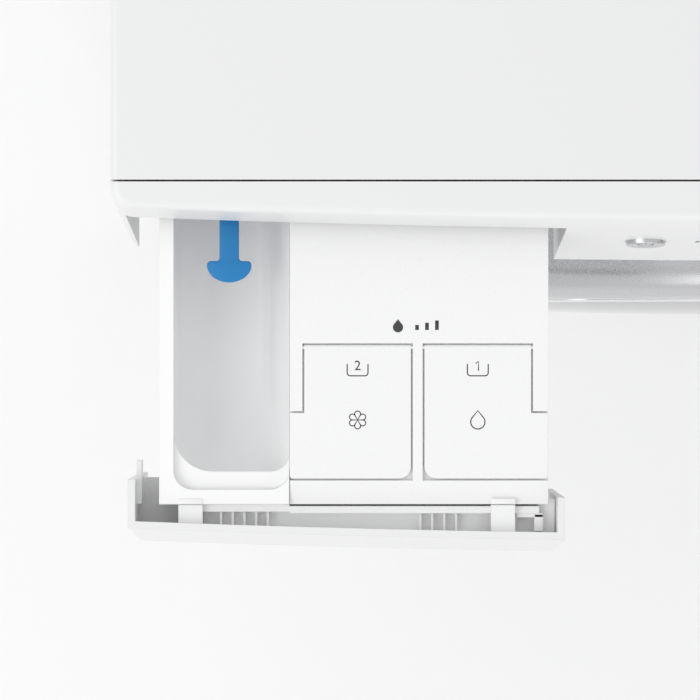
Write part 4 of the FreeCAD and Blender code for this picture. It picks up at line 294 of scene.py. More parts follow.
# ---- bench
class Bench:
    """The workbench: modelling steps that every piece shares, done with Blender's own operators."""

    @staticmethod
    def clear() -> None:
        """Leave edit mode and let go of everything."""
        if bpy.context.object and bpy.context.object.mode != "OBJECT":
            bpy.ops.object.mode_set(mode="OBJECT")
        bpy.ops.object.select_all(action="DESELECT")

    @classmethod
    def hold(cls, piece: Piece) -> Piece:
        """Make one object the only one selected.

        Args:
            piece: The object.

        Returns:
            The same object.
        """
        cls.clear()
        piece.select_set(True)
        bpy.context.view_layer.objects.active = piece
        return piece

    @classmethod
    def edit(cls, piece: Piece) -> None:
        """Open one object in edit mode with nothing selected."""
        cls.hold(piece)
        bpy.ops.object.mode_set(mode="EDIT")
        bpy.ops.mesh.select_all(action="DESELECT")

    @classmethod
    def apply(cls, piece: Piece) -> Piece:
        """Apply an object's place, turn and scale to its mesh."""
        cls.hold(piece)
        bpy.ops.object.transform_apply(location=True, rotation=True, scale=True)
        return piece

    @classmethod
    def pick_faces(cls, piece: Piece, chosen: Callable[[bmesh.types.BMFace], bool]) -> None:
        """Select the faces of an object in edit mode that a test picks out.

        Args:
            piece: The object.
            chosen: The test.
        """
        bpy.ops.mesh.select_mode(type="FACE")
        bpy.ops.mesh.select_all(action="DESELECT")
        mesh = bmesh.from_edit_mesh(piece.data)
        for face in mesh.faces:
            if chosen(face):
                face.select_set(True)
        mesh.select_flush_mode()
        bmesh.update_edit_mesh(piece.data)

    @classmethod
    def chain(cls, name: str, points: Sequence[Spot], closed: bool = False) -> Piece:
        """Draw a line of edges, left in edit mode with all of it selected.

        Args:
            name: The object's name.
            points: The corners in order.
            closed: Whether the last joins the first.

        Returns:
            The object.
        """
        cls.clear()
        bpy.ops.mesh.primitive_plane_add(size=MM, location=points[0])
        piece = bpy.context.object
        piece.name = name
        bpy.ops.object.transform_apply(location=True, rotation=True, scale=True)
        bpy.ops.object.mode_set(mode="EDIT")
        bpy.ops.mesh.select_mode(type="VERT")
        bpy.ops.mesh.select_all(action="SELECT")
        bpy.ops.mesh.merge(type="CENTER")
        for start, stop in zip(points, points[1:]):
            step = Vector(stop) - Vector(start)
            bpy.ops.mesh.extrude_region_move(TRANSFORM_OT_translate={"value": tuple(step)})
        if closed:
            mesh = bmesh.from_edit_mesh(piece.data)
            mesh.verts.ensure_lookup_table()
            for vert in mesh.verts:
                vert.select_set(len(vert.link_edges) == 1)
            mesh.select_flush_mode()
            bmesh.update_edit_mesh(piece.data)
            bpy.ops.mesh.edge_face_add()
        bpy.ops.mesh.select_all(action="SELECT")
        return piece

    @classmethod
    def lathe(cls, name: str, profile: Sequence[Point], steps: int = 96, closed: bool = False) -> Piece:
        """Turn a profile about the Z axis.

        Args:
            name: The object's name.
            profile: Places as (radius, height), in millimetres.
            steps: How many steps make the full turn.
            closed: Whether the profile's last place joins its first.

        Returns:
            The object, in object mode.
        """
        points = [(radius * MM, 0.0, height * MM) for radius, height in profile]
        piece = cls.chain(name, points, closed)
        bpy.ops.mesh.spin(steps=steps, angle=math.tau, center=(0, 0, 0), axis=(0, 0, 1),
                          use_auto_merge=False)
        cls.close_up()
        return piece

    @classmethod
    def close_up(cls) -> None:
        """Merge doubles, turn all faces outwards and leave edit mode."""
        bpy.ops.mesh.select_all(action="SELECT")
        bpy.ops.mesh.remove_doubles(threshold=2 * WELD)
        bpy.ops.mesh.normals_make_consistent(inside=False)
        bpy.ops.object.mode_set(mode="OBJECT")

    @classmethod
    def prism(cls, name: str, outline: Sequence[Point], low: float, high: float) -> Piece:
        """Raise a flat outline along Z.

        Args:
            name: The object's name.
            outline: Corners as (x, y), in metres.
            low: Height of its underside, in metres.
            high: Height of its top, in metres.

        Returns:
            The object, in object mode.
        """
        piece = cls.chain(name, [(x, y, low) for x, y in outline], closed=True)
        bpy.ops.mesh.edge_face_add()
        bpy.ops.mesh.extrude_region_move(TRANSFORM_OT_translate={"value": (0, 0, high - low)})
        cls.close_up()
        return piece

    @classmethod
    def block(cls, name: str, low: Spot, high: Spot, edge: float = 0.0) -> Piece:
        """Make a block with rounded edges.

        Args:
            name: The object's name.
            low: Its lowest corner, in metres.
            high: Its highest corner, in metres.
            edge: Radius of its edges, in millimetres.

        Returns:
            The object, in object mode.
        """
        cls.clear()
        centre = (Vector(low) + Vector(high)) / 2
        bpy.ops.mesh.primitive_cube_add(size=1.0, location=centre)
        piece = bpy.context.object
        piece.name = name
        piece.scale = Vector(high) - Vector(low)
        cls.apply(piece)
        return cls.soften(piece, edge, 2) if edge else piece

    @classmethod
    def modify(cls, piece: Piece, kind: str, **values: object) -> None:
        """Add a modifier and apply it.

        Args:
            piece: The object.
            kind: The modifier's type.
            values: Its settings.
        """
        cls.hold(piece)
        modifier = piece.modifiers.new("step", kind)
        for key, value in values.items():
            setattr(modifier, key, value)
        bpy.ops.object.modifier_apply(modifier=modifier.name)

    @classmethod
    def soften(cls, piece: Piece, width: float, segments: int = 3, **limits: float) -> Piece:
        """Round an object's edges, of a width in millimetres."""
        cls.modify(piece, "BEVEL", width=width * MM, segments=segments, limit_method="ANGLE", **limits)
        return piece

    @classmethod
    def stroke(cls, name: str, points: Sequence[Point], width: float, closed: bool = False,
               thick: float = 0.06) -> Piece:
        """Draw a flat printed line in the plane Z = 0.

        Args:
            name: The object's name.
            points: Its corners as (x, y), in millimetres.
            width: Its width in millimetres.
            closed: Whether it joins up.
            thick: Its thickness in millimetres.

        Returns:
            The object, in object mode.
        """
        piece = cls.chain(name, [(x * MM, y * MM, 0.0) for x, y in points], closed)
        bpy.ops.object.mode_set(mode="OBJECT")
        bpy.ops.object.convert(target="CURVE")
        piece.data.bevel_depth = width * MM / 2
        piece.data.bevel_resolution = 1
        piece.data.use_fill_caps = True
        bpy.ops.object.convert(target="MESH")
        piece.scale = (1, 1, thick / width)
        return cls.apply(piece)

    @classmethod
    def join(cls, name: str, pieces: Sequence[Piece]) -> Piece:
        """Join objects into the first of them.

        Args:
            name: The joined object's name.
            pieces: The objects.

        Returns:
            The joined object.
        """
        cls.clear()
        for piece in pieces:
            piece.select_set(True)
        bpy.context.view_layer.objects.active = pieces[0]
        bpy.ops.object.join()
        joined = bpy.context.object
        joined.name = name
        return joined

    @classmethod
    def put(cls, piece: Piece, place: Matrix) -> Piece:
        """Move and turn an object, and apply that to its mesh."""
        piece.matrix_world = place
        return cls.apply(piece)

    @classmethod
    def repeat(cls, piece: Piece, places: Sequence[Matrix]) -> list[Piece]:
        """Put copies of a piece in several places, each with its own mesh.

        Args:
            piece: The piece at the origin, which takes the first place itself.
            places: Where each one goes.

        Returns:
            All of them.
        """
        copies = [piece]
        for _ in places[1:]:
            copied = piece.copy()
            copied.data = piece.data.copy()
            bpy.context.scene.collection.objects.link(copied)
            copies.append(copied)
        return [cls.put(copied, place) for copied, place in zip(copies, places)]

    @classmethod
    def weld(cls, node: str, name: str) -> Piece:
        """Copy a CAD node with its corners merged.

        Args:
            node: The node.
            name: The copy's name.

        Returns:
            The copy.
        """
        piece = bpy.data.objects.new(name, frame["nodes"][node].data.copy())
        bpy.context.scene.collection.objects.link(piece)
        cls.edit(piece)
        bpy.ops.mesh.select_all(action="SELECT")
        bpy.ops.mesh.remove_doubles(threshold=WELD)
        bpy.ops.object.mode_set(mode="OBJECT")
        return piece

    @classmethod
    def dress(cls, piece: Piece, look: Finish, replaces: Sequence[str], angle: float) -> None:
        """Shade a piece, give it its finish and hide the CAD nodes that it stands for."""
        cls.hold(piece)
        bpy.ops.object.shade_smooth_by_angle(angle=math.radians(angle))
        piece.data.materials.clear()
        piece.data.materials.append(look.material())
        if replaces:
            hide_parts(*replaces)

    @classmethod
    def flex(cls, piece: Piece, look: Finish, start: Spot, end: Spot, replaces: Sequence[str] = (),
             angle: float = 40.0) -> None:
        """Dress a piece that lies between the cabinet and the tub and apply its place to its mesh.

        Args:
            piece: The object.
            look: Its finish.
            start: Where it stops following the cabinet; not used.
            end: Where it starts to follow the tub; not used.
            replaces: The CAD nodes that it stands for.
            angle: Edges sharper than this many degrees stay sharp.
        """
        cls.dress(piece, look, replaces, angle)
        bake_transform(piece)
        LOG.info("%s bends from cabinet to tub in %s", piece.name, look.name)

    @classmethod
    def finish(cls, piece: Piece, look: Finish, body: str, replaces: Sequence[str] = (),
               angle: float = 35.0) -> Piece:
        """Shade, dress and mount a finished piece.

        Args:
            piece: The object.
            look: Its finish.
            body: The body that it rides on.
            replaces: The CAD nodes that it stands for.
            angle: Edges sharper than this many degrees stay sharp.

        Returns:
            The object.
        """
        cls.dress(piece, look, replaces, angle)
        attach(piece, body)
        LOG.info("%s rides on %s in %s", piece.name, body, look.name)
        return piece


# ---- CAD nodes
@dataclass
class Carcass:
    """The nodes that keep the shape they were designed with."""

    smoothed: tuple[str, ...] = (
        "worktop", "control_fascia", "drawer_front", "drawer_carrier", "drawer_tray", "tank_cover",
        "softener_lid",
        "detergent_lid", "front_panel", "door_inner_ring", "door_hook", "door_hinge", "inlet_valve",
        "drain_pipe",
        "plinth_panel", "service_flap", "display_window", "door_ring",
        "door_cover", "door_bowl", "drum_lifters", "transit_caps", "mains_inlet", "filter_cap")
    looks: dict[str, Finish] = field(default_factory=lambda: {"display_window": PANEL_GLASS})

    def look_of(self, name: str) -> Finish:
        """Give the finish of a node: its own, or that of its slot."""
        return self.looks.get(name, SLOT_FINISH.get(SLOTS[name], WHITE))

    def dress(self) -> None:
        """Give every node the finish of its slot."""
        for name, node in frame["nodes"].items():
            look = self.look_of(name)
            node.data.materials.clear()
            node.data.materials.append(look.material())
            LOG.info("node %s in %s", name, look.name)

    def smooth(self) -> None:
        """Stand a welded, smoothly shaded copy in for each curved node that shows."""
        for name in self.smoothed:
            look = self.look_of(name)
            piece = Bench.weld(name, name + "_skin")
            if piece.data.has_custom_normals:
                bpy.ops.mesh.customdata_custom_splitnormals_clear()
            Bench.finish(piece, look, body_of(name), (name,), angle=25.0)


def body_of(node: str) -> str:
    """Give the name of the body that a node belongs to."""
    bodies = frame["record"]["behaviour"]["bodies"]
    return next(body for body, nodes in bodies.items() if node in nodes)


# ---- shared places
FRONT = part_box("front_panel")[0].y
AXIS_HEIGHT = JOINTS["door_swing"]["pos_m"][2]
AXIS_PLACE = Matrix.Translation((0, FRONT, AXIS_HEIGHT)) @ Matrix.Rotation(QUARTER, 4, "X")
TRAY_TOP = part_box("drawer_tray")[1].z
PRINT_PROUD = 0.02 * MM
PRINT = 0.03


def arc(centre: Point, radius: float, start: float, stop: float, steps: int) -> list[Point]:
    """Give points along an arc.

    Args:
        centre: The arc's centre.
        radius: Its radius.
        start: Angle of the first point in degrees.
        stop: Angle of the last point in degrees.
        steps: How many steps lie between them.

    Returns:
        The points.
    """
    angles = [math.radians(start + (stop - start) * step / steps) for step in range(steps + 1)]
    return [(centre[0] + radius * math.cos(angle), centre[1] + radius * math.sin(angle))
            for angle in angles]


def ring_of(count: int) -> list[float]:
    """Give the headings, in degrees, of things that stand evenly in a ring."""
    return [360.0 * index / count for index in range(count)]


def spun(heading: float, reach: float = 0.0, rise: float = 0.0) -> Matrix:
    """Turn something about the Z axis and set it out along its heading, in degrees and millimetres."""
    turn = Matrix.Rotation(math.radians(heading), 4, "Z")
    return turn @ Matrix.Translation((reach * MM, 0.0, rise * MM))


@dataclass
class FasciaSurface:
    """The leaning, bowed face of the control fascia, as a place to put things on."""

    bow: float = 7.5

    def place(self, across: float, height: float, follow_bow: bool = True) -> Matrix:
        """Give the place and turn of a piece drawn in the XY plane with its front towards +Z.

        Args:
            across: Where it goes, to the right of the machine's middle, in metres.
            height: Its height above the floor, in metres.
            follow_bow: Whether it also turns with the bow.

        Returns:
            The matrix that puts it there.
        """
        joint = JOINTS["programme_turn"]
        outwards = Vector(joint["axis"])
        lean = math.atan2(outwards.z, -outwards.y)
        sag = self.bow - math.sqrt(self.bow ** 2 - across ** 2)
        back = joint["pos_m"][1] + (height - joint["pos_m"][2]) * math.tan(lean) + sag
        yaw = math.asin(across / self.bow) if follow_bow else 0.0
        turn = Matrix.Rotation(yaw, 4, "Z") @ Matrix.Rotation(math.pi / 2 - lean, 4, "X")
        return Matrix.Translation((across, back, height)) @ turn


# ---- drawer
class Symbol(Enum):
    """The plain marks printed on the lids."""

    FLOWER = "softener"
    DROP = "liquid detergent"


@dataclass
class DrawerMarks:
    """The marks on the cover and its two lids, in millimetres."""

    line: float = 0.52
    tray_half: float = 4.6
    tray_rise: float = 2.6
    tray_corner: float = 1.35
    one: Line = ((-1.0, 1.1), (0.3, 2.0), (0.3, -2.1))
    digit_size: float = 6.1
    digit_rise: float = 1.75
    tray_from_front: float = 48.0
    symbol_from_front: float = 25.9
    petal_reach: float = 2.62
    petal_radius: float = 1.32
    petal_turn: float = 118.0
    petal_line: float = 0.9
    petals: int = 6
    drop_radius: float = 3.15
    cover_mark: Point = (-174.0, -264.2)
    small_drop: float = 0.72
    bar_spots: tuple[float, ...] = (-165.6, -161.2, -156.8)
    bar_half: float = 1.1
    bar_step: float = 0.5
    bar_drop: float = 1.8
    bar_width: float = 0.8
    bar_edge: float = 0.02

    def build(self) -> None:
        """Print the cover and both lids."""
        self.lid("softener_lid", "softener_flap", "softener_lid_hinge", "2", Symbol.FLOWER)
        self.lid("detergent_lid", "detergent_flap", "detergent_lid_hinge", "1", Symbol.DROP)
        self.cover()

    def lid(self, node: str, body: str, joint: str, digit: str, symbol: Symbol) -> None:
        """Print one lid.

        Args:
            node: The lid's node.
            body: The body that it belongs to.
            joint: Its hinge, which lies on its middle.
            digit: The number of its tank.
            symbol: What its tank holds.
        """
        low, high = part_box(node)
        middle = JOINTS[joint]["pos_m"][0]
        tray, mark = (Matrix.Translation((middle, low.y + back * MM, high.z + PRINT_PROUD))
                      for back in (self.tray_from_front, self.symbol_from_front))
        marks = [Bench.put(self.tray_outline(), tray), Bench.put(self.digit(digit), tray)]
        shapes = self.flower() if symbol is Symbol.FLOWER else [self.drop()]
        marks += [Bench.put(shape, mark) for shape in shapes]
        Bench.finish(Bench.join(node + "_marks", marks), INK, body)

    def tray_outline(self) -> Piece:
        """Draw the open tray round a number."""
        half, rise, corner = self.tray_half, self.tray_rise, self.tray_corner
        points = [(-half, rise), *arc((corner - half, corner - rise), corner, 180, 270, 4),
                  *arc((half - corner, corner - rise), corner, 270, 360, 4), (half, rise)]
        return Bench.stroke("tray_mark", points, self.line)

    def digit(self, digit: str) -> Piece:
        """Set a number in the tray.

        Args:
            digit: The number.

        Returns:
            The object.
        """
        if digit == "1":
            return Bench.stroke("one", [(x, self.digit_rise + y) for x, y in self.one], self.line)
        piece = set_text(digit, self.digit_size)
        piece.location.y = self.digit_rise * MM
        return Bench.apply(piece)

    def flower(self) -> list[Piece]:
        """Draw one petal and copy it all round."""
        outline = [(0.0, 0.0), *arc((self.petal_reach, 0.0), self.petal_radius, -self.petal_turn,
                                    self.petal_turn, 12)]
        petal = Bench.stroke("petal", outline, self.line * self.petal_line, closed=True)
        return Bench.repeat(petal, [spun(90.0 + turn) for turn in ring_of(self.petals)])

    def drop_outline(self, scale: float = 1.0) -> list[Point]:
        """Give the outline of a drop, larger or smaller by the scale."""
        points = [(0.0, 4.1), *arc((0, -0.85), self.drop_radius, 148, 392, 22)]
        return [(x * scale, y * scale) for x, y in points]

    def drop(self) -> Piece:
        """Draw a drop."""
        return Bench.stroke("drop", self.drop_outline(), self.line, closed=True)

    def cover(self) -> None:
        """Print a solid drop and three level bars on the cover."""
        outline = [(x * MM, y * MM) for x, y in self.drop_outline(self.small_drop)]
        drop = Bench.prism("small_drop", outline, -PRINT * MM, PRINT * MM)
        x, y = self.cover_mark
        marks = [Bench.put(drop, Matrix.Translation((x * MM, y * MM, TRAY_TOP + PRINT_PROUD)))]
        for index, spot in enumerate(self.bar_spots):
            half = (self.bar_half + self.bar_step * index) * MM
            centre = Vector((spot * MM, (y - self.bar_drop) * MM + half, TRAY_TOP + PRINT_PROUD))
            size = Vector((self.bar_width * MM, half, PRINT * MM))
            marks.append(Bench.block("bar", centre - size, centre + size, self.bar_edge))
        Bench.finish(Bench.join("cover_marks", marks), INK, "drawer")


def set_text(words: str, size: float) -> Piece:
    """Make flat, slightly thick lettering centred on the origin.

    Args:
        words: What it says.
        size: Its size in millimetres.

    Returns:
        The mesh object.
    """
    Bench.clear()
    bpy.ops.object.text_add(location=(0, 0, 0))
    piece = bpy.context.object
    piece.data.body = words
    piece.data.size = size * MM
    piece.data.extrude = PRINT * MM
    piece.data.align_x = "CENTER"
    piece.data.align_y = "CENTER"
    piece.data.resolution_u = 4
    Bench.hold(piece)
    bpy.ops.object.convert(target="MESH")
    return bpy.context.object


@dataclass
class ReleaseTab:
    """The blue tab that frees the drawer: a stem with a rounded mushroom head, in millimetres."""

    stem_half: float = 4.3
    head_half: float = 9.9
    head_length: float = 9.5
    corner: float = 1.8
    neck: float = 1.5
    thickness: float = 2.4
    edge: float = 0.55
    reach: float = 4.4
    offset: float = -1.15
    pin: Line = ((0, 9.8), (1.2, 9.8), (1.5, 9.5), (1.5, 4.3), (2.0, 4.2))

    def build(self) -> None:
        """Mould the tab with its pivot pins."""
        low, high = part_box("release_tab")
        low.y -= self.reach * MM
        middle = (low.x + high.x) / 2 + self.offset * MM
        pivot = Vector(JOINTS["release_tab_flex"]["pos_m"])
        length = (pivot.y - low.y) / MM
        shoulder = self.head_length - self.corner
        neck = arc((self.stem_half + self.neck, self.head_length + self.neck), self.neck, 180, 270, 5)
        right = [(self.stem_half, length), *neck,
                 *arc((self.head_half - self.corner, shoulder), self.corner, 90, 0, 5)]
        right += [(x * self.head_half, shoulder - y * shoulder)
                  for x, y in arc((0.0, 0.0), 1.0, 0, 90, 12)[1:]]
        outline = [*right, *((-x, y) for x, y in reversed(right[:-1]))]
        half = self.thickness * MM / 2
        corners = [(middle + x * MM, low.y + y * MM) for x, y in outline]
        plate = Bench.prism("tab_plate", corners, pivot.z - half, pivot.z + half)
        Bench.soften(plate, self.edge, angle_limit=math.radians(50))
        pin = Bench.lathe("tab_pins", [*((x, -y) for x, y in self.pin), *reversed(self.pin)], 32)
        spot = Matrix.Translation((middle - self.offset * MM, pivot.y, pivot.z))
        Bench.put(pin, spot @ Matrix.Rotation(QUARTER, 4, "Y"))
        Bench.finish(Bench.join("release_tab_moulding", [plate, pin]), BLUE, "tab", ("release_tab",))


@dataclass
class DrawerTrim:
    """Small mouldings at the drawer's front: the clips' ends over the tray's edge and a corner bracket."""

    pad: tuple[Spot, Spot] = ((0.0, 0.1, -2.2), (10.8, 2.6, 0.45))
    pad_edge: float = 0.2
    arms: tuple[tuple[Spot, Spot], ...] = (
        ((-121.6, -349.1, -10.0), (-109.6, -347.1, -5.0)),
        ((-113.6, -355.1, -10.0), (-109.6, -347.5, -5.0)),
        ((-112.0, -356.0, -11.0), (-104.2, -341.0, -9.0)))
    arm_edge: float = 0.3
    clip_spots: tuple[float, float] = (8.4, 25.3)
    opening_gap: float = 0.8
    liner: float = 1.3
    liner_back: float = 13.0
    liner_base: float = 1.5
    liner_top: float = 2.0
    wall: float = 2.4

    def build(self) -> None:
        """Make both clips' ends and the bracket."""
        low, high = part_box("drawer_tray")
        foot, head = (Vector(corner) * MM for corner in self.pad)
        pad = Bench.block("clip_pad", foot, head, self.pad_edge)
        starts = (low.x + self.clip_spots[0] * MM, high.x - self.clip_spots[1] * MM)
        pads = Bench.repeat(pad, [Matrix.Translation((start, low.y, TRAY_TOP)) for start in starts])
        Bench.finish(Bench.join("clip_ends", pads), COVER, "drawer")
        arms = [Bench.block("arm", *(Vector(corner) * MM for corner in corners), self.arm_edge)
                for corners in self.arms]
        bracket = Bench.put(Bench.join("corner_bracket", arms), Matrix.Translation((0.0, 0.0, TRAY_TOP)))
        Bench.finish(bracket, COVER, "drawer")
        self.liners()

    def liners(self) -> None:
        """Line both sides of the drawer's opening, so that the fascia shows no hollow there."""
        low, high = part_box("drawer_front")
        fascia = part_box("control_fascia")[0]
        surface = FasciaSurface()
        turn = Matrix(((0, 0, 1, 0), (1, 0, 0, 0), (0, 1, 0, 0), (0, 0, 0, 1)))
        base, top = fascia.z + self.liner_base * MM, high.z + self.liner_top * MM
        liners = []
        for inner, side in ((low.x - self.opening_gap * MM, -1), (high.x + self.opening_gap * MM, 1)):
            outer = inner + side * self.liner * MM
            foot, head = (surface.place(inner, height).translation.y + self.wall * MM
                          for height in (base, top))
            back = FRONT + self.liner_back * MM
            plate = Bench.prism("liner", [(foot, base), (back, base), (back, top), (head, top)],
                                *sorted((inner, outer)))
            liners.append(Bench.put(plate, turn))
        Bench.finish(Bench.join("opening_liners", liners), WHITE, "cabinet")


# ---- controls
@dataclass
class Controls:
    """The programme knob with its scale, the two push buttons and the lit display, in millimetres."""

    surface: FasciaSurface = field(default_factory=FasciaSurface)
    height: float = 779.0
    knob_profile: Line = (
        (0, 17.6), (16.6, 17.6), (17.6, 18.4), (19.6, 19.0), (21.2, 18.8), (22.1, 17.6), (25, 2.2),
        (24.6, 1.0), (10, 1.0), (10, -9), (0, -9))
    knob_steps: int = 96
    side_slope: float = 0.3
    groove_reach: float = 22.0
    groove_edge: float = 0.25
    groove: float = 0.55
    pointer: tuple[Spot, Spot] = ((-0.7, 7.5, 17.5), (0.7, 15.8, 17.9))
    pointer_edge: float = 0.15
    bezel: Line = ((26.2, -0.4), (26.2, 0.9), (26.6, 1.3), (27.6, 1.3), (28.4, 0.7), (28.6, -0.4))
    power_x: float = -62.0
    power_radius: float = 8.95
    start_x: float = 226.0
    start_radius: float = 12.95
    button_top: float = 1.5
    button_rim: Line = ((2.6, 1.5), (1.8, 1.9), (0.7, 2.0), (0.2, 1.7), (0, 1.1), (0, -9))
    button_steps: int = 72
    mark: float = 0.55
    mark_rise: float = 0.01
    tick_radii: Point = (30.6, 33.4)
    tick_widths: Point = (0.7, 0.45)
    tick_pitch: float = 15.0
    ticks: int = 24
    ink: float = 0.05
    numbers: tuple[tuple[str, int], ...] = (
        ("90", 60), ("60", 30), ("40", 0), ("30", -30), ("20", -60), ("5", 240), ("4", 210), ("3", 180),
        ("2", 150), ("1", 120))
    number_radius: float = 38.6
    number_size: float = 5.4
    display_x: float = 120.0
    digit_height: float = 17.0
    digit_width: float = 9.4
    segment: float = 1.5
    segment_gap: float = 0.1
    digits: tuple[tuple[str, float], ...] = (("bc", -27.0), ("bcfg", -9.0), ("acdfg", 5.0))
    signs: tuple[tuple[float, float, Line], ...] = (
        (0.9, 0.9, ((-18.0, -3.4), (-18.0, 3.4))),
        (1.8, 0.7, tuple((24.0 + 5.2 * step, -6.8) for step in range(6))),
        (1.6, 1.2, ((26.0, 5.2),)), (2.3, 1.2, ((35.0, 5.2),)), (3.0, 1.2, ((44.0, 5.2),)))

    def build(self) -> None:
        """Make every control."""
        self.knob()
        self.scale()
        self.buttons()
        self.display()

    def knob(self) -> None:
        """Turn the knob, cut its grip and set its pointer and the ring round it."""
        place = self.surface.place(0.0, self.height * MM, follow_bow=False)
        grip = Bench.lathe("knob_grip", self.knob_profile, self.knob_steps)
        Bench.edit(grip)
        Bench.pick_faces(grip, self.in_groove)
        bpy.ops.mesh.inset(thickness=self.groove_edge * MM, depth=-self.groove * MM, use_individual=True)
        bpy.ops.object.mode_set(mode="OBJECT")
        Bench.finish(Bench.put(grip, place), SILVER, "knob", ("programme_knob",))
        low, high = (Vector(corner) * MM for corner in self.pointer)
        pointer = Bench.block("knob_pointer", low, high, self.pointer_edge)
        Bench.finish(Bench.put(pointer, place), INK, "knob")
        bezel = Bench.lathe("knob_bezel", self.bezel, self.knob_steps, True)
        Bench.finish(Bench.put(bezel, place), SILVER, "cabinet")

    def in_groove(self, face: bmesh.types.BMFace) -> bool:
        """Say whether a face of the grip's side is one of every second one."""
        middle = face.calc_center_median()
        step = int(math.atan2(middle.y, middle.x) // (math.tau / self.knob_steps))
        upright = abs(face.normal.z) < self.side_slope
        return upright and middle.xy.length > self.groove_reach * MM and step % 2 == 0

    def scale(self) -> None:
        """Print the ticks and numbers round the knob."""
        place = self.surface.place(0.0, self.height * MM)
        ticks = []
        for width, start in zip(self.tick_widths, (0.0, self.tick_pitch)):
            tick = Bench.stroke("tick", [(radius, 0.0) for radius in self.tick_radii], width,
                                thick=self.ink)
            ticks += Bench.repeat(tick, [spun(start + heading) for heading in ring_of(self.ticks // 2)])
        Bench.finish(Bench.put(Bench.join("scale_ticks", ticks), place), GREY_INK, "cabinet")
        numbers = []
        for words, heading in self.numbers:
            x, y = arc((0, 0), self.number_radius, heading, heading, 1)[0]
            spot = Matrix.Translation((x * MM, y * MM, 0))
            numbers.append(Bench.put(set_text(words, self.number_size), spot))
        Bench.finish(Bench.put(Bench.join("scale_numbers", numbers), place), GREY_INK, "cabinet")

    def buttons(self) -> None:
        """Turn both buttons and print their marks."""
        power = [arc((0, 0), 3.4, 122, 418, 20), [(0.0, 1.2), (0.0, 4.3)]]
        play = [[(-4.6, 3.2), (-4.6, -3.2), (0.6, 0.0), (-4.6, 3.2)], [(2.6, 3.0), (2.6, -3.0)],
                [(4.8, 3.0), (4.8, -3.0)]]
        for name, x, outer, marks in (("power", self.power_x, self.power_radius, power),
                                      ("start", self.start_x, self.start_radius, play)):
            place = self.surface.place(x * MM, self.height * MM, follow_bow=False)
            rim = [(outer - inset, height) for inset, height in self.button_rim]
            base = min(height for _, height in rim)
            cap = Bench.lathe(name + "_cap", [(0, self.button_top), *rim, (0, base)], self.button_steps)
            Bench.finish(Bench.put(cap, place), SILVER, name, (name + "_button",))
            mark = Bench.join(name + "_mark", [Bench.stroke("mark", line, self.mark, thick=self.ink)
                                               for line in marks])
            Bench.finish(Bench.put(mark, place @ spun(0.0, rise=self.button_top + self.mark_rise)), INK, name)

    def display(self) -> None:
        """Light a time and a row of bars behind the window's surface."""
        place = self.surface.place(self.display_x * MM, self.height * MM)
        half, side = self.digit_width / 2 - self.segment / 2, self.digit_height / 4
        levels = {"a": 2 * side, "g": 0.0, "d": -2 * side}
        uprights = {"b": (half, side), "c": (half, -side), "f": (-half, side)}
        across, up = [], []
        for digit, centre in self.digits:
            across += [(centre, levels[key]) for key in digit if key in levels]
            up += [(centre + uprights[key][0], uprights[key][1]) for key in digit if key in uprights]
        reach = self.segment / 2
        shapes = self.bars(half - reach - self.segment_gap, reach, across)
        shapes += self.bars(reach, side - reach - self.segment_gap, up)
        for wide, tall, spots in self.signs:
            shapes += self.bars(wide, tall, spots)
        Bench.finish(Bench.put(Bench.join("display_segments", shapes), place), LIT, "cabinet")

    def bars(self, wide: float, tall: float, spots: Sequence[Point]) -> list[Piece]:
        """Cut a lit bar with clipped corners and copy it.

        Args:
            wide: Half its width.
            tall: Half its height.
            spots: The middle of each bar.

        Returns:
            The bars.
        """
        clip = min(wide, tall) / 2
        corner = [(wide, tall - clip), (wide - clip, tall)]
        half = [*corner, *((-x, y) for x, y in reversed(corner))]
        outline = [*half, *((-x, -y) for x, y in half)]
        bar = Bench.prism("bar", [(x * MM, y * MM) for x, y in outline], -PRINT * MM, self.ink * MM)
        return Bench.repeat(bar, [Matrix.Translation((x * MM, y * MM, 0)) for x, y in spots])


# ---- door and drum
@dataclass
class DoorTrim:
    """The polished ring round the door's glass and the dark border on the glass, in millimetres."""

    ring: Line = ((164.9, 46.4), (164.9, 50.5), (165.6, 51.3), (168.9, 51.3), (171.6, 50.3), (171.6, 49.6),
                  (165.6, 49.4))
    border: Line = ((164.2, 46.75), (146.0, 48.15), (146.0, 47.75), (164.2, 46.3))

    def build(self) -> None:
        """Turn the ring and the border."""
        ring = Bench.lathe("door_trim_ring", self.ring, 160, True)
        Bench.finish(Bench.put(ring, AXIS_PLACE), CHROME, "door")
        border = Bench.lathe("glass_border", self.border, 120, True)
        Bench.finish(Bench.put(border, AXIS_PLACE), INK, "door")


@dataclass
class Gasket:
    """The folded rubber seal between the porthole and the tub, in millimetres."""

    line: Line = (
        (144.6, -3.4), (146.5, -3.0), (155, -3.6), (168, -3.8), (169.8, -5.6), (169.9, -26.4),
        (168.4, -28.4), (160.4, -29.2), (158.7, -31.2), (158.6, -34.6), (160.8, -37.2), (158.6, -39.8),
        (158.7, -44.6), (160.4, -47.0), (174.4, -47.6), (176.4, -49.6), (176.5, -75.2))
    steps: int = 112
    wall: float = 2.7
    start: float = 30.0
    end: float = 60.0

    def build(self) -> None:
        """Turn the folds and give them their wall."""
        piece = Bench.lathe("gasket_folds", self.line, self.steps)
        Bench.modify(piece, "SOLIDIFY", thickness=self.wall * MM, offset=0.0)
        Bench.put(piece, AXIS_PLACE)
        start, end = ((0, FRONT + back * MM, AXIS_HEIGHT) for back in (self.start, self.end))
        Bench.flex(piece, GASKET_RUBBER, start, end, ("door_gasket",), angle=60.0)


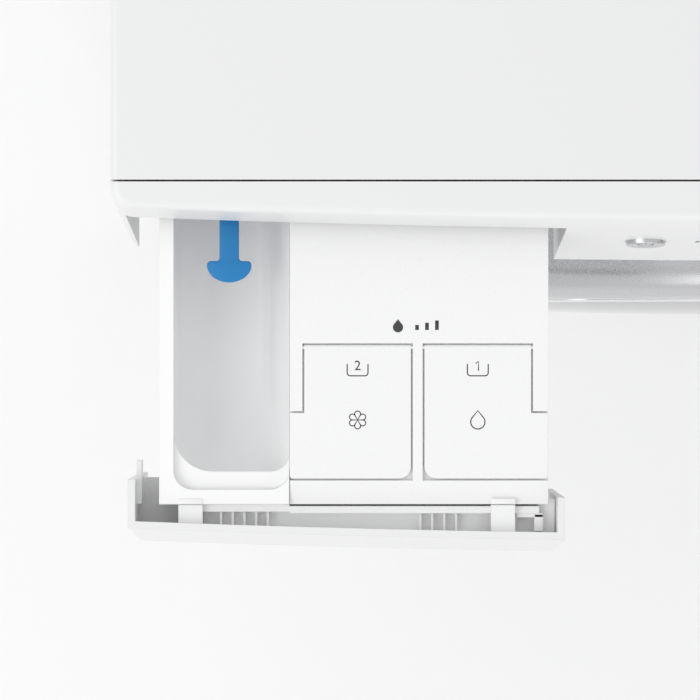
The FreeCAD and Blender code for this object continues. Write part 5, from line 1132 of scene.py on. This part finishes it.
@dataclass
class Drum:
    """The pressed steel drum with its rows of holes, in millimetres."""

    radius: float = 244.4
    wall: float = 1.1
    front: float = -110.0
    back: float = -401.0
    columns: int = 96
    rows: int = 20
    hole_border: float = 4.9
    hole_corner: float = 1.6
    cone: Line = ((154.4, -98.6), (153.2, -97.0), (153.5, -95.2), (155.6, -94.8), (160, -96.4),
                  (240, -108.2), (243.4, -108.9), (244.4, -110.0))
    floor: Line = (
        (244.4, -401.0), (242.8, -402.6), (240, -403.1), (205, -403.1), (201, -400.6), (176, -400.6),
        (172, -403.1), (122, -403.1), (118, -400.6), (92, -400.6), (88, -403.1), (52, -403.1),
        (44, -396.0), (20, -394.6), (0, -394.4))

    def build(self) -> None:
        """Press the three sheets and join them."""
        parts = [self.perforated()]
        parts += [Bench.lathe(name, line, self.columns)
                  for name, line in (("drum_cone", self.cone), ("drum_floor", self.floor))]
        for part in parts:
            Bench.modify(part, "SOLIDIFY", thickness=self.wall * MM, offset=0.0)
        drum = Bench.join("drum_pressings", parts)
        Bench.finish(Bench.put(drum, AXIS_PLACE), STAINLESS, "drum", ("drum_shell",), angle=40.0)

    def perforated(self) -> Piece:
        """Roll the side sheet and punch its holes.

        Returns:
            The sheet.
        """
        Bench.clear()
        bpy.ops.mesh.primitive_cylinder_add(
            vertices=self.columns, radius=self.radius * MM, depth=(self.front - self.back) * MM,
            end_fill_type="NOTHING", location=(0, 0, (self.front + self.back) * MM / 2))
        piece = bpy.context.object
        Bench.apply(piece)
        Bench.edit(piece)
        bpy.ops.mesh.select_mode(type="EDGE")
        mesh = bmesh.from_edit_mesh(piece.data)
        for edge in mesh.edges:
            edge.select_set(abs(edge.verts[0].co.z - edge.verts[1].co.z) > 0.01)
        bmesh.update_edit_mesh(piece.data)
        bpy.ops.mesh.subdivide(number_cuts=self.rows - 1)
        bpy.ops.mesh.select_mode(type="FACE")
        bpy.ops.mesh.select_all(action="SELECT")
        bpy.ops.mesh.inset(thickness=self.hole_border * MM, depth=0.0, use_individual=True)
        bpy.ops.mesh.bevel(offset=self.hole_corner * MM, segments=1, affect="VERTICES")
        Bench.pick_faces(piece, lambda face: len(face.verts) == 8)
        bpy.ops.mesh.delete(type="FACE")
        bpy.ops.object.mode_set(mode="OBJECT")
        return piece


# ---- sheets
@dataclass
class SideSheets:
    """The two side sheets, each with a shallow pressed field, in millimetres."""

    border: float = 46.0
    slope: float = 9.0
    press: float = 1.6
    sheet: float = 1.0
    bend: float = 4.0
    bend_angle: float = 4.0
    fold: float = 11.0
    fold_inset: float = 0.3
    fold_edge: float = 0.2
    fold_ends: Spot = (102.0, 32.0, 45.0)

    def build(self) -> None:
        """Press both sheets and fold their edges."""
        for name, side in (("side_panel_left", -1), ("side_panel_right", 1)):
            low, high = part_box(name)
            outer = low.x if side < 0 else high.x
            Bench.clear()
            bpy.ops.mesh.primitive_plane_add(size=1.0, location=(0, 0, 0))
            field_sheet = bpy.context.object
            field_sheet.scale = (high.z - low.z, high.y - low.y, 1.0)
            Bench.apply(field_sheet)
            turn = Matrix.Rotation(QUARTER * side, 4, "Y")
            Bench.edit(field_sheet)
            bpy.ops.mesh.select_all(action="SELECT")
            bpy.ops.mesh.inset(thickness=self.border * MM)
            bpy.ops.mesh.inset(thickness=self.slope * MM, depth=-self.press * MM)
            bpy.ops.object.mode_set(mode="OBJECT")
            Bench.soften(field_sheet, self.bend, angle_limit=math.radians(self.bend_angle))
            middle = (low + high) / 2
            Bench.put(field_sheet, Matrix.Translation((outer, middle.y, middle.z)) @ turn)
            Bench.modify(field_sheet, "SOLIDIFY", thickness=self.sheet * MM, offset=-1.0)
            near, far = sorted((outer - side * self.fold_inset * MM, outer - side * self.fold * MM))
            sheet = self.sheet * MM
            front_foot, front_head, rear_foot = (end * MM for end in self.fold_ends)
            corners = (((low.y, low.z + front_foot), (low.y + sheet, high.z - front_head)),
                       ((high.y - sheet, low.z + rear_foot), (high.y, high.z)),
                       ((low.y, high.z - sheet), (high.y, high.z)))
            folds = [Bench.block("fold", (near, *start), (far, *end), self.fold_edge)
                     for start, end in corners]
            Bench.finish(Bench.join(name + "_sheet", [field_sheet, *folds]), ENAMEL, "cabinet", (name,),
                         angle=20)


@dataclass
class RearDetails:
    """What stands out on the rear sheet: beads, a round cover, louvres and screws, in millimetres."""

    cover_radius: float = 148.0
    cover_steps: int = 120
    bead_heights: tuple[float, ...] = (150.0, 182.0, 650.0, 682.0)
    bead: Point = (120.0, 7.0)
    bead_rise: float = 1.6
    bead_edge: float = 1.5
    root: float = 0.4
    louvres: int = 9
    louvre_pitch: float = 13.0
    louvre_height: float = 735.0
    louvre: Point = (2.2, 19.0)
    louvre_rise: float = 2.4
    louvre_edge: float = 1.9
    head_profile: Line = ((0, 2.3), (1.6, 2.2), (3.2, 1.7), (4.2, 0.7), (4.4, 0), (2, 0), (2, -4), (0, -4))
    head_radius: float = 4.5
    recess: Point = (2.2, 0.35)
    recess_height: Point = (1.1, 3.0)
    screw_shares: Point = (0.37, 0.65)
    screw_rise: float = 0.2
    screw_inset: float = 4.0
    cover_seat: float = 1.1
    rear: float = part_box("rear_panel")[1].y
    outwards: Matrix = field(default_factory=lambda: Matrix.Rotation(-QUARTER, 4, "X"))

    def build(self) -> None:
        """Make all of it."""
        self.pressed("rear_beads", self.bead, self.bead_rise, self.bead_edge,
                     [(0.0, spot) for spot in self.bead_heights])
        self.cover()
        first = -self.louvre_pitch * (self.louvres - 1) / 2
        spots = [(first + self.louvre_pitch * index, self.louvre_height) for index in range(self.louvres)]
        self.pressed("rear_louvres", self.louvre, self.louvre_rise, self.louvre_edge, spots)
        self.screws()

    def pressed(self, name: str, half: Point, rise: float, edge: float, spots: Sequence[Point]) -> None:
        """Press one raised strip into the rear sheet and copy it.

        Args:
            name: The joined strips' name.
            half: Half a strip's width and height.
            rise: How far it stands out.
            edge: Radius of its edges.
            spots: The middle of each strip, as (across, height).
        """
        wide, tall = half[0] * MM, half[1] * MM
        strip = Bench.block("strip", (-wide, -self.root * MM, -tall), (wide, rise * MM, tall))
        Bench.soften(strip, edge)
        strips = Bench.repeat(strip, [Matrix.Translation((x * MM, self.rear, z * MM)) for x, z in spots])
        Bench.finish(Bench.join(name, strips), ZINC, "cabinet")

    def cover(self) -> None:
        """Turn the round cover over the drive and drive its screws in."""
        radius = self.cover_radius
        disc = Bench.lathe("drive_cover", [
            (0, 3.4), (58, 3.4), (62, 2.2), (100, 2.2), (104, 3.4), (radius - 12, 3.4), (radius - 8, 1.4),
            (radius, 1.2), (radius, -0.3), (0, -0.3)], self.cover_steps)
        place = Matrix.Translation((0, self.rear, AXIS_HEIGHT)) @ self.outwards
        Bench.finish(Bench.put(disc, place), ZINC, "cabinet")
        spots = arc((0, 0), radius - self.screw_inset, 30, 330, 5)
        places = [place @ Matrix.Translation((x * MM, y * MM, self.cover_seat * MM)) for x, y in spots]
        heads = Bench.repeat(self.head(), places)
        Bench.finish(Bench.join("drive_cover_screws", heads), STEEL, "cabinet")

    def head(self) -> Piece:
        """Make one screw head with a cross recess, its top towards +Z."""
        head = Bench.lathe("head", self.head_profile, 24)
        low, high = self.recess_height
        for wide, tall in (self.recess, self.recess[::-1]):
            slot = Bench.block("slot", (-wide * MM, -tall * MM, low * MM),
                               (wide * MM, tall * MM, high * MM))
            Bench.modify(head, "BOOLEAN", object=slot, operation="DIFFERENCE", solver="EXACT")
            bpy.data.objects.remove(slot)
        return head

    def screws(self) -> None:
        """Drive in the screws that hold the rear sheet."""
        low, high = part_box("panel_screws")
        radius = self.head_radius * MM
        heights = (low.z + radius, *(share * CAD_BOX[1][2] for share in self.screw_shares), high.z - radius)
        places = [Matrix.Translation((x, self.rear + self.screw_rise * MM, z)) @ self.outwards
                  for x in (low.x + radius, high.x - radius) for z in heights]
        heads = Bench.repeat(self.head(), places)
        Bench.finish(Bench.join("rear_screws", heads), STEEL, "cabinet", ("panel_screws",))


# ---- feet, springs and hoses
@dataclass
class Feet:
    """The four levelling feet: ribbed soles, threaded stems and lock nuts, in millimetres."""

    sole: Line = ((0, 0), (19.5, 0), (21.4, 0.9), (22, 2.4), (21.2, 3.2), (21.2, 4.0), (22, 4.8), (22, 6.6),
                  (20.6, 8.4), (14, 9.8), (8, 10), (0, 10))
    stem_foot: float = 10.0
    stem_head: float = 36.0
    stem_tip: float = 4.2
    threads: int = 20
    thread_pitch: float = 1.28
    thread: Line = ((4.6, 0.4), (5.0, 1.0))
    nut_radius: float = 10.0
    nut_depth: float = 4.9
    nut_height: float = 13.5
    nut_edge: float = 0.7

    def build(self) -> None:
        """Make one foot and copy it."""
        low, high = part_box("levelling_feet")
        reach = max(radius for radius, _ in self.sole) * MM
        places = [Matrix.Translation((x, y, 0)) for x in (low.x + reach, high.x - reach)
                  for y in (low.y + reach, high.y - reach)]
        soles = Bench.repeat(Bench.lathe("sole", self.sole, 40), places)
        thread = [(0, self.stem_foot)]
        for index in range(self.threads):
            height = self.stem_foot + self.thread_pitch * index
            thread += [(radius, height + rise) for radius, rise in self.thread]
        thread += [(self.stem_tip, self.stem_head), (0, self.stem_head)]
        Bench.clear()
        bpy.ops.mesh.primitive_cylinder_add(
            vertices=6, radius=self.nut_radius * MM, depth=self.nut_depth * MM,
            location=(0, 0, self.nut_height * MM))
        nut = Bench.soften(Bench.apply(bpy.context.object), self.nut_edge, 2)
        metal = Bench.repeat(Bench.lathe("stem", thread, 20), places) + Bench.repeat(nut, places)
        Bench.finish(Bench.join("feet_soles", soles), BLACK_RUBBER, "cabinet", ("levelling_feet",))
        Bench.finish(Bench.join("feet_stems", metal), STEEL, "cabinet")


@dataclass
class Springs:
    """The two wound springs that carry the tub, in millimetres."""

    coil_radius: float = 7.4
    wire: float = 1.5
    pitch: float = 3.5
    steps: int = 14
    sides: int = 8
    hold: float = 4.0

    def build(self) -> None:
        """Wind one spring and copy it."""
        low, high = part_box("suspension_springs")
        turns = int((high.z - low.z) / MM / self.pitch) - 1
        Bench.clear()
        bpy.ops.mesh.primitive_circle_add(
            vertices=self.sides, radius=self.wire * MM, fill_type="NOTHING", rotation=(QUARTER, 0, 0),
            location=(self.coil_radius * MM, 0, self.wire * MM))
        wound = Bench.apply(bpy.context.object)
        Bench.modify(wound, "SCREW", angle=math.tau, screw_offset=self.pitch * MM, iterations=turns,
                     steps=self.steps, use_merge_vertices=False)
        Bench.edit(wound)
        bpy.ops.mesh.select_all(action="SELECT")
        bpy.ops.mesh.fill_holes(sides=self.sides)
        Bench.close_up()
        reach, y = high.x - self.coil_radius * MM - self.wire * MM, (low.y + high.y) / 2
        coils = Bench.repeat(wound, [Matrix.Translation((x, y, low.z)) for x in (-reach, reach)])
        for coil, name, x in zip(coils, ("spring_left", "spring_right"), (-reach, reach)):
            coil.name = name
            replaced = ("suspension_springs",) if x < 0 else ()
            start, end = (x, y, high.z - self.hold * MM), (x, y, low.z + self.hold * MM)
            Bench.flex(coil, STEEL, start, end, replaced, angle=180.0)


@dataclass
class Hoses:
    """The two rubber hoses that give way as the tub swings, in millimetres."""

    fold_pitch: float = 6.0
    fold: float = 1.0
    wall: float = 1.4
    cuff: float = 14.0
    bend_low: float = 104.0
    bend_high: float = 128.0

    def build(self) -> None:
        """Make both hoses."""
        self.inlet()
        self.sump()

    def inlet(self) -> None:
        """Turn the folded hose from the dosing housing to the tub."""
        low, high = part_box("tub_inlet_hose")
        radius = (high.x - low.x) / 2 / MM - self.fold
        foot, head = low.z / MM, high.z / MM
        folds = int((head - foot - 2 * self.cuff) / self.fold_pitch * 2)
        profile = [(radius, foot)]
        profile += [(radius + self.fold * (step % 2), foot + self.cuff + step * self.fold_pitch / 2)
                    for step in range(folds)]
        profile += [(radius, head - self.cuff), (radius, head)]
        hose = Bench.lathe("inlet_hose_folds", profile, 40)
        Bench.modify(hose, "SOLIDIFY", thickness=self.wall * MM, offset=-1.0)
        x, y = (low.x + high.x) / 2, (low.y + high.y) / 2
        Bench.put(hose, Matrix.Translation((x, y, 0)))
        start, end = (x, y, (head - self.cuff) * MM), (x, y, (foot + self.cuff) * MM)
        Bench.flex(hose, BLACK_RUBBER, start, end, ("tub_inlet_hose",))

    def sump(self) -> None:
        """Copy the bent hose from the tub to the pump."""
        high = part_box("sump_hose")[1]
        hose = Bench.weld("sump_hose", "sump_hose_bend")
        x, y = high.x, high.y
        Bench.flex(hose, BLACK_RUBBER, (x, y, self.bend_low * MM), (x, y, self.bend_high * MM),
                   ("sump_hose",))


# ---- stage
@dataclass
class Studio:
    """The floor, the light and the camera, which look straight down on the open drawer."""

    eye: Spot = (-0.1952, -0.27484, 2.418)
    lens: float = 187.0
    sensor: float = 36.0
    clip_start: float = 0.05
    floor_size: float = 14.0
    sky: float = 0.84
    lamps: tuple[tuple[str, Spot, float], ...] = (("key", (-2.2, -0.9, 3.4), 30.0),
                                                  ("front", (0.6, -3.4, 1.9), 13.0))
    lamp_size: float = 2.0
    lamp_aim: Spot = (0.0, 0.0, 0.5)

    def build(self) -> None:
        """Set up the floor, world, lamps and camera."""
        Bench.clear()
        bpy.ops.mesh.primitive_plane_add(size=self.floor_size, location=(0, 0, 0))
        floor = bpy.context.object
        floor.name = "studio_floor"
        floor.data.materials.append(FLOOR.material())
        world = bpy.data.worlds.new("studio")
        bpy.context.scene.world = world
        world.use_nodes = True
        backdrop = world.node_tree.nodes["Background"]
        backdrop.inputs["Color"].default_value = (1.0, 1.0, 1.0, 1.0)
        backdrop.inputs["Strength"].default_value = self.sky
        bpy.context.scene.view_settings.view_transform = "Standard"
        for name, place, power in self.lamps:
            self.lamp(name, place, power)
        self.camera()

    def lamp(self, name: str, place: Spot, power: float) -> None:
        """Hang a soft square lamp that faces the machine.

        Args:
            name: The lamp's name.
            place: Where it hangs.
            power: Its power in watts.
        """
        Bench.clear()
        bpy.ops.object.light_add(type="AREA", location=place)
        lamp = bpy.context.object
        lamp.name = name
        lamp.data.size = self.lamp_size
        lamp.data.energy = power
        lamp.rotation_euler = (Vector(self.lamp_aim) - Vector(place)).to_track_quat("-Z", "Y").to_euler()

    def camera(self) -> None:
        """Place the camera straight above the drawer."""
        Bench.clear()
        bpy.ops.object.camera_add(location=self.eye, rotation=(0, 0, 0))
        camera = bpy.context.object
        camera.data.lens = self.lens
        camera.data.sensor_width = self.sensor
        camera.data.clip_start = self.clip_start
        camera.data.dof.use_dof = False
        bpy.context.scene.camera = camera


def main() -> None:
    """Build the looks of the whole machine."""
    logging.basicConfig(level=logging.INFO, format="%(message)s")
    Studio().build()
    carcass = Carcass()
    carcass.dress()
    carcass.smooth()
    for assembly in (DrawerMarks(), ReleaseTab(), DrawerTrim(), Controls(), DoorTrim(), Gasket(), Drum(),
                     SideSheets(),
                     RearDetails(), Feet(), Springs(), Hoses()):
        assembly.build()


if __name__ == "__main__":
    main()
